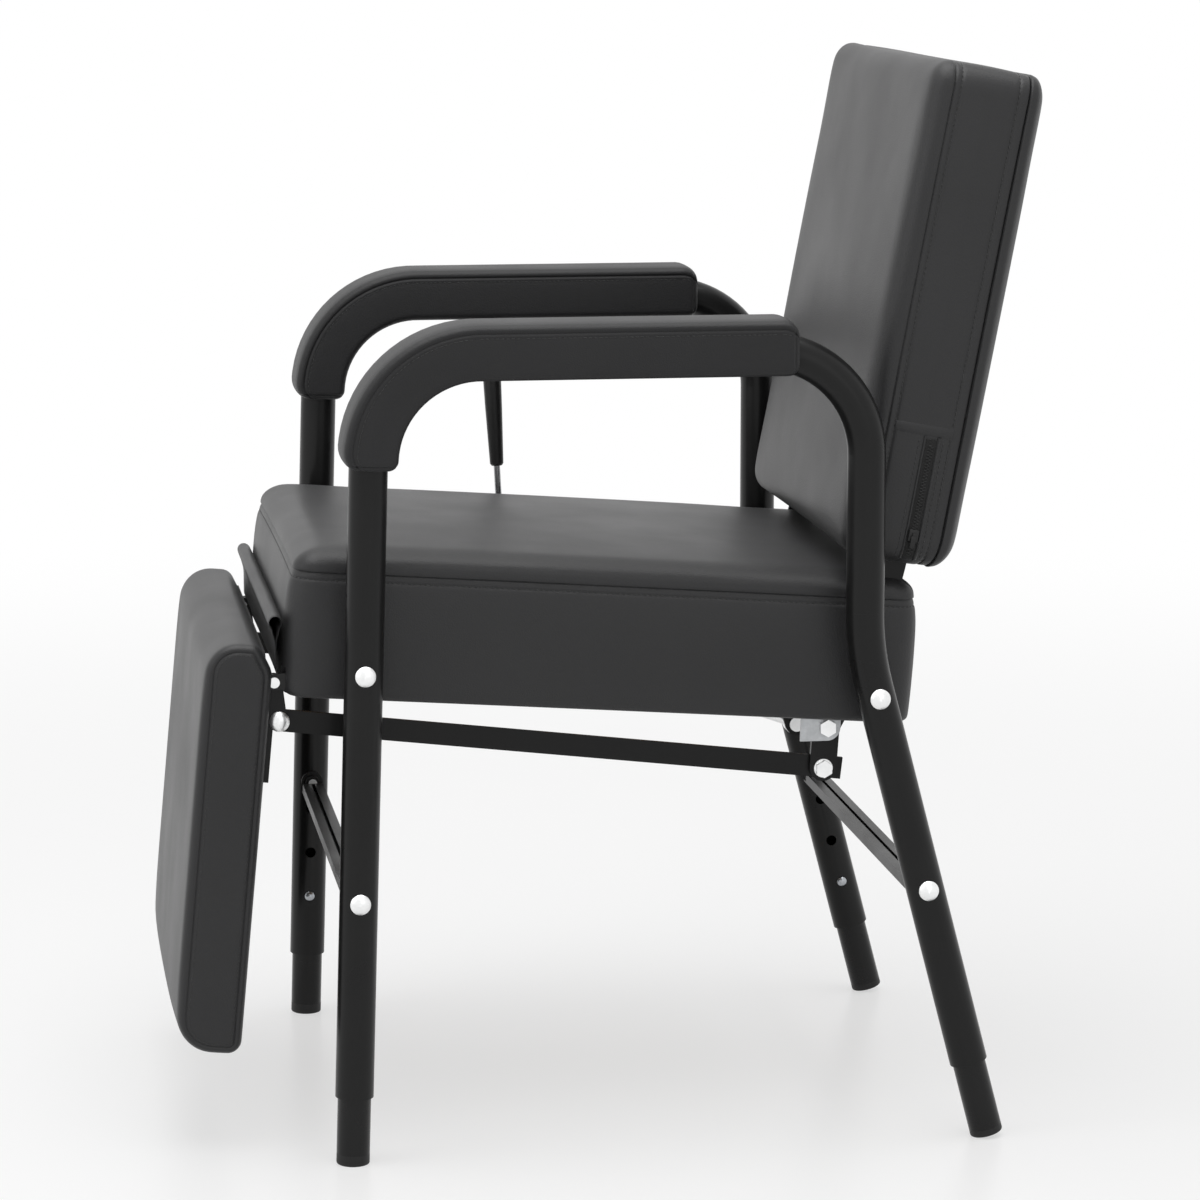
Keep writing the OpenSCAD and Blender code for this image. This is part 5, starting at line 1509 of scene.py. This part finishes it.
@dataclass
class BackDetails:
    """The zips, their lips and the seams across the sides of the back's cover, placed by depth and height."""

    skin: BVHTree
    zip_q: float = 40.0
    zip_low: float = 10.0
    zip_top: float = 110.0
    tape_half: float = 5.2
    tooth_pitch: float = 2.6
    tooth_size: tuple[float, float, float] = (1.3, 3.0, 1.15)
    tooth_shift: float = 0.8
    lip_pitch: float = 4.0
    lip_points: int = 27
    seam_v: float = 113.0
    seam_q: Point = (7.5, 57.5)
    thread_q: float = 10.5

    def on_side(self, q: float, v: float, proud: float = 0.0) -> Vector:
        """Find the point of the cover's left side at a depth and height of the back.

        Args:
            q: The depth behind the front seam.
            v: The height along the back.
            proud: How far outside the cover, in millimetres.

        Returns:
            The point in metres.
        """
        start = BACK.matrix() @ Vector((0.26, q * MM, v * MM))
        hit, _, _, _ = self.skin.ray_cast(start, Vector((-1, 0, 0)))
        x = hit.x if hit is not None and hit.x > 0.2 else 0.2135
        return Vector((x + proud * MM, start.y, start.z))

    def band(self, low: Point, high: Point, proud: float, along_v: bool) -> BMesh:
        """Lay a rounded strip on each side of the back.

        Args:
            low: The lower corner.
            high: The upper corner.
            proud: How far its middle stands out.
            along_v: Whether it runs up the back, not across it.

        Returns:
            The two strips.
        """
        bm = bmesh.new()
        size = (high[0] - low[0], high[1] - low[1])
        nq, nv = (6, max(2, round(size[1] / 5))) if along_v else (max(2, round(size[0] / 5)), 6)
        made = bmesh.ops.create_grid(bm, x_segments=nq, y_segments=nv, size=1.0)["verts"]
        for vertex in made:
            a, b = vertex.co.x, vertex.co.y
            across = a if along_v else b
            rise = proud * math.sqrt(max(0.0, 1 - across * across)) - 0.25
            vertex.co = self.on_side(low[0] + (a + 1) / 2 * size[0], low[1] + (b + 1) / 2 * size[1], rise)
        faces = list({f for v in made for f in v.link_faces})
        bmesh.ops.recalc_face_normals(bm, faces=faces)
        bmesh.ops.solidify(bm, geom=faces, thickness=0.7 * MM)
        both_sides(bm)
        return bm

    def tapes(self) -> Object:
        """Lay the zips' woven tapes, in the solids' place; their near-black colour is the tape's own black with painted
        shade of the recess between the lips.

        Returns:
            The tapes of both zips.
        """
        low, high = (self.zip_q - self.tape_half, self.zip_low - 1), (self.zip_q + self.tape_half, self.zip_top + 1)
        made = finished("zip_tapes", self.band(low, high, 0.7, True), ZIP_TAPE_PAINTED_SHADE)
        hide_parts("back_zips")
        return made

    def teeth(self) -> Object:
        """Set the zips' interlocked teeth, each a small bevelled block.

        Returns:
            The teeth of both zips.
        """
        bm = bmesh.new()
        count = int((self.zip_top - self.zip_low - 4) / self.tooth_pitch * 2)
        size = Matrix.Diagonal([side * MM for side in self.tooth_size] + [1.0])
        turn = Matrix.Rotation(math.radians(-BACK.lean), 4, "X")
        for k in range(count):
            v = self.zip_low + 2 + k * self.tooth_pitch / 2
            q = self.zip_q + (self.tooth_shift if k % 2 else -self.tooth_shift)
            spot = self.on_side(q, v, 1.0)
            corners = bmesh.ops.create_cube(bm, size=1.0, matrix=Matrix.Translation(spot) @ turn @ size)["verts"]
            outer = [e for e in {e for w in corners for e in w.link_edges}
                     if abs((e.verts[0].co - e.verts[1].co).normalized().x) < 0.5
                     and (e.verts[0].co.x + e.verts[1].co.x) / 2 > spot.x]
            bmesh.ops.bevel(bm, geom=outer, offset=0.3 * MM, offset_type="OFFSET", segments=1, profile=0.5,
                            affect="EDGES", material=-1)
        both_sides(bm)
        return finished("zip_teeth", bm, TOOTH_PLASTIC)

    def sliders(self) -> Object:
        """Make the zips' sliders with their pulls, parked at the lower end.

        Returns:
            Both sliders.
        """
        bm = bmesh.new()
        base = self.on_side(self.zip_q, self.zip_low + 16).x / MM - 0.8
        q, v = self.zip_q, self.zip_low + 14
        # The body, the bridge over it and the pull, each with its corners and the radius of its edges
        for low, high, cut in (((1.2, -4.5, 0), (3.4, 4.5, 10.5), 0.9), ((3.4, -1.2, 1.5), (4.6, 1.2, 7.5), 0.5),
                               ((4.6, -2.2, -5), (5.4, 2.2, 5.0), 0.35)):
            made = block(bm, BACK, (low[0], low[1] + q, low[2] + v), (high[0], high[1] + q, high[2] + v), base)
            bmesh.ops.bevel(bm, geom=list({e for w in made for e in w.link_edges}), offset=cut * MM,
                            offset_type="OFFSET", segments=3, profile=0.5, affect="EDGES", material=-1)
        both_sides(bm)
        return finished("zip_sliders", bm, ZIP_LACQUER)

    def lips(self) -> Object:
        """Fold the cover's edges beside the zips to rounded lips.

        Returns:
            The lips of both zips.
        """
        bm = bmesh.new()
        for q, radius in ((self.zip_q + 6.4, 1.9), (self.zip_q - 6.0, 1.2)):
            line = [self.on_side(q, self.zip_low - 1 + k * self.lip_pitch, -0.1) for k in range(self.lip_points)]
            tube(bm, line, radius * MM)
        both_sides(bm)
        return finished("zip_lips", bm, CUSHION_VINYL)

    def seams(self) -> Object:
        """Lay the folded seam across each side above its zip, and return both."""
        low, high = (self.seam_q[0], self.seam_v), (self.seam_q[1], self.seam_v + 10)
        return finished("back_side_seams", self.band(low, high, 1.1, False), CUSHION_VINYL)

    def threads(self) -> None:
        """Sew the lines beside the cross seams and the zips, on both sides."""
        row = StitchRow()
        lines = [[self.on_side(8 + 49 * k / 12, self.seam_v + 2.2) for k in range(13)]]
        lines += [[self.on_side(self.zip_q + away, 10 + 101 * k / 24) for k in range(25)]
                  for away in (self.thread_q, -self.thread_q)]
        left = row.places(lines, False, self.skin)
        mirror = Matrix.Scale(-1, 4, Vector((1, 0, 0)))
        turned = Matrix.Scale(-1, 4, Vector((0, 1, 0)))
        row.sew("back_side_stitches", left + [mirror @ m @ turned for m in left], "back", "cushion_vinyl")

    def build(self) -> None:
        """Make all details and let them ride on the back."""
        for piece, slot in ((self.tapes(), "zip_black"), (self.teeth(), "zip_black"), (self.sliders(), "zip_black"),
                            (self.lips(), "cushion_vinyl"), (self.seams(), "cushion_vinyl")):
            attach(piece, "back")
            log.info("%s: %d faces", piece.name, len(piece.data.polygons))
        self.threads()


# ---- Upholstery ----

def upholstery() -> None:
    """Build the seat, back, legrest and arm pads with their sewn details."""
    BoxedCushion(name="seat_upholstery", nodes=("seat_cushion",), body="chair_frame", tilt=SEAT, facing=Facing.UP,
                 width=426, length=537, height=106, corner=26, roll_w=24, roll_h=16.5, crown=3.4, hollow=56.2,
                 middle=-4.5, channels=(Channel(99.5),), lip=4.6, side_in=1.2, foot_round=5.0, cap=2.6,
                 cutters=seat_cutters).build()
    skin = BoxedCushion(name="back_upholstery", nodes=("back_cushion",), body="back", tilt=BACK, facing=Facing.FRONT,
                        width=434, length=425, height=65.3, corner=24, roll_w=17, roll_h=15.5, crown=3.6, hollow=12.3,
                        depth=65.3, middle=212.5, channels=(Channel(58.5), Channel(9.0)), foot_round=1.4, cap=2.4,
                        cutters=back_cutters, bend=tuck_back_foot).build()
    BackDetails(skin).build()
    BoxedCushion(name="back_rear_panel", nodes=("back_rear_pad",), body="back", tilt=BACK, facing=Facing.REAR,
                 width=430, length=421, height=2.6, corner=22, roll_w=26, roll_h=12.0, crown=2.0, hollow=0.0,
                 depth=65.65, middle=212.5, lip=0.6, waist=1.0, side_in=0.3, groove=False, foot_round=0.7, cap=1.6,
                 fill=0.5, bend=tuck_back_foot).build()
    WrappedCushion(name="legrest_upholstery", nodes=("legrest_cushion",), body="legrest", cutters=legrest_cutters,
                   thread=StitchRow(pitch=4.2, length=3.2, thick=0.6)).build()
    for side in Side:
        end = side.name.lower()
        ArmPad(name="arm_pad_cover_" + end, nodes=("armrest_pad_" + end,), body="chair_frame", slot="pad_vinyl",
               finish=ARM_VINYL, pressure=3.0, cap=1.4, fill=0.75, side=side, closed=False,
               thread=StitchRow(pitch=4.2, length=3.2, thick=0.7)).build()
    GapFlap().build()


# ---- Finishes of the solids that stay ----

@dataclass
class FrameFinishes:
    """Which carried-over solids wear each finish, by the start of their names."""

    wears: dict[Finish, tuple[str, ...]] = field(default_factory=lambda: {
        FRAME_PAINT: ("side_frame",),
        BRACE_PAINT: ("front_brace", "rear_brace"),
        BOLT_CHROME: ("brace_bolts", "seat_bolts", "pivot_bolts", "link_bolts", "hinge_pins", "link_pins", "lock_rod",
                      "release_pin"),
        RAIL_PAINT: ("seat_rail", "front_cross_rail", "middle_cross_rail", "seat_spacers", "hinge_ear", "lock_bracket",
                     "lever_bearings", "lock_cylinder"),
        SCREW_ZINC: ("seat_board_screws", "back_board_bolts", "legrest_screws"),
        BOARD_BIRCH: ("seat_board", "back_board"),
        DUST_CLOTH: ("legrest_board",),
        PLATE_ZINC: ("pivot_bracket",),
        SPRING_STEEL: ("lever_spring", "snap_spring"),
        INNER_PAINT: ("inner_leg",),
        FOOT_PLASTIC: ("foot_tip",),
        ARM_PAINT: ("back_arm", "back_shaft", "lock_crank", "link_bar", "legrest_bracket"),
        GRIP_PLASTIC: ("lever_grip",),
        LEVER_CHROME: ("lever",)})

    def finish_of(self, node: str) -> Finish | None:
        """Return the finish whose name part fits the node's name best, or None."""
        fits = {start: finish for finish, starts in self.wears.items() for start in starts if node.startswith(start)}
        return fits[max(fits, key=len)] if fits else None

    def dress(self) -> None:
        """Give each solid its material."""
        for node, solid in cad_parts.items():
            finish = self.finish_of(node)
            if finish is None:
                continue
            worn = material(finish)
            if not solid.material_slots:
                solid.data.materials.append(worn)
            for slot in solid.material_slots:
                slot.material = worn
            log.info("%s wears %s", node, finish.name)


# ---- Studio ----

def seen_or_mirrored(tree: NodeTree) -> tuple[Node, NodeSocket]:
    """Add the test for rays of the camera and of mirrors, which the white background answers.

    Args:
        tree: The node tree.

    Returns:
        The node of the rays and the test's socket.
    """
    rays = add_node(tree, "ShaderNodeLightPath")
    either = add_node(tree, "ShaderNodeMath", {0: rays.outputs["Is Camera Ray"], 1: rays.outputs["Is Glossy Ray"]},
                      operation="MAXIMUM")
    return rays, either.outputs[0]


@dataclass
class Studio:
    """A pale floor, soft lamps, a white surround and the camera of the photograph."""

    camera_at: tuple[float, float, float] = (3.6526, -0.5193, 1.0525)
    yaw: float = 8.473
    pitch: float = 9.591
    lens: float = 127.5
    floor_half: float = 14.0
    fade: Point = (0.5, 3.2)
    fade_from: float = 0.56

    def camera(self) -> None:
        """Set the camera where the photograph was taken."""
        data = bpy.data.cameras.new("camera")
        data.lens = self.lens
        data.sensor_width = 36.0
        data.clip_end = 100.0
        camera = linked("camera", data)
        yaw, pitch = math.radians(self.yaw), math.radians(self.pitch)
        forward = Vector((-math.cos(yaw) * math.cos(pitch), math.sin(yaw) * math.cos(pitch), -math.sin(pitch)))
        camera.location = self.camera_at
        camera.rotation_euler = forward.to_track_quat("-Z", "Y").to_euler()
        bpy.context.scene.camera = camera

    def lamp(self, name: str, at: tuple[float, float, float], aim: tuple[float, float, float], size: float,
             power: float) -> None:
        """Hang a square soft lamp.

        Args:
            name: Its name.
            at: Its place in metres.
            aim: The point it looks at.
            size: Its side in metres.
            power: Its power in watts.
        """
        data = bpy.data.lights.new(name, "AREA")
        data.size = size
        data.energy = power
        made = linked(name, data)
        made.location = at
        made.rotation_euler = (Vector(aim) - Vector(at)).to_track_quat("-Z", "Y").to_euler()

    def surround(self) -> None:
        """Make the world: white where it is seen or mirrored, and a low even light elsewhere."""
        world = bpy.data.worlds.new("surround")
        bpy.context.scene.world = world
        world.use_nodes = True
        tree = world.node_tree
        tree.nodes.clear()
        rays, seen = seen_or_mirrored(tree)
        seen = add_node(tree, "ShaderNodeMath", {0: seen, 1: rays.outputs["Is Transmission Ray"]},
                        operation="MAXIMUM")
        dim = add_node(tree, "ShaderNodeBackground", {"Color": linear("#f4f4f4"), "Strength": 0.45})
        white = add_node(tree, "ShaderNodeBackground", {"Color": linear("#ffffff"), "Strength": 1.0})
        mixed = add_node(tree, "ShaderNodeMixShader", {0: seen.outputs[0], 1: dim.outputs[0], 2: white.outputs[0]})
        add_node(tree, "ShaderNodeOutputWorld", {"Surface": mixed.outputs[0]})

    def floor_paper(self) -> Material:
        """Make the floor's paper, slightly glossy near the chair and fading to white far away.

        Returns:
            The material.
        """
        made = bpy.data.materials.new("studio_floor_paper")
        made.use_nodes = True
        tree = made.node_tree
        shader = tree.nodes["Principled BSDF"]
        shader.inputs["Base Color"].default_value = linear("#f2f2f2")
        shader.inputs["Roughness"].default_value = 0.3
        shader.inputs["Specular IOR Level"].default_value = 0.25
        place = add_node(tree, "ShaderNodeTexCoord").outputs["Object"]
        away = add_node(tree, "ShaderNodeVectorMath", {0: place}, operation="LENGTH").outputs["Value"]
        fade = add_node(tree, "ShaderNodeMapRange", {
            "Value": away, "From Min": self.fade[0], "From Max": self.fade[1], "To Min": self.fade_from,
            "To Max": 1.0}, interpolation_type="SMOOTHSTEP").outputs["Result"]
        _, seen = seen_or_mirrored(tree)
        share = add_node(tree, "ShaderNodeMath", {0: seen, 1: fade}, operation="MULTIPLY")
        glow = add_node(tree, "ShaderNodeEmission", {"Color": linear("#ffffff"), "Strength": 1.0})
        mixed = add_node(tree, "ShaderNodeMixShader", {0: share.outputs[0], 1: shader.outputs[0], 2: glow.outputs[0]})
        tree.links.new(mixed.outputs[0], tree.nodes["Material Output"].inputs["Surface"])
        return made

    def floor(self) -> None:
        """Lay the pale floor."""
        bm = bmesh.new()
        bmesh.ops.create_grid(bm, x_segments=8, y_segments=8, size=self.floor_half)
        mesh = mesh_of("studio_floor", bm)
        mesh.materials.append(self.floor_paper())
        linked("studio_floor", mesh)

    def build(self) -> None:
        """Set up the camera, lamps, surround and floor."""
        self.camera()
        self.lamp("softbox_above", (0.3, -0.2, 2.7), (0.0, 0.0, 0.3), 2.4, 52.0)
        self.lamp("softbox_front", (0.9, -2.7, 1.5), (0.0, 0.0, 0.5), 1.6, 7.6)
        self.lamp("fill_camera", (3.0, 0.9, 1.4), (0.0, 0.0, 0.5), 1.6, 3.5)
        self.surround()
        self.floor()
        bpy.context.scene.view_settings.view_transform = "Standard"


def main() -> None:
    """Build the studio, dress the solids and make the upholstery."""
    logging.basicConfig(level=logging.INFO, format="%(name)s %(relativeCreated)d: %(message)s")
    Studio().build()
    FrameFinishes().dress()
    upholstery()


if __name__ == "__main__":
    main()
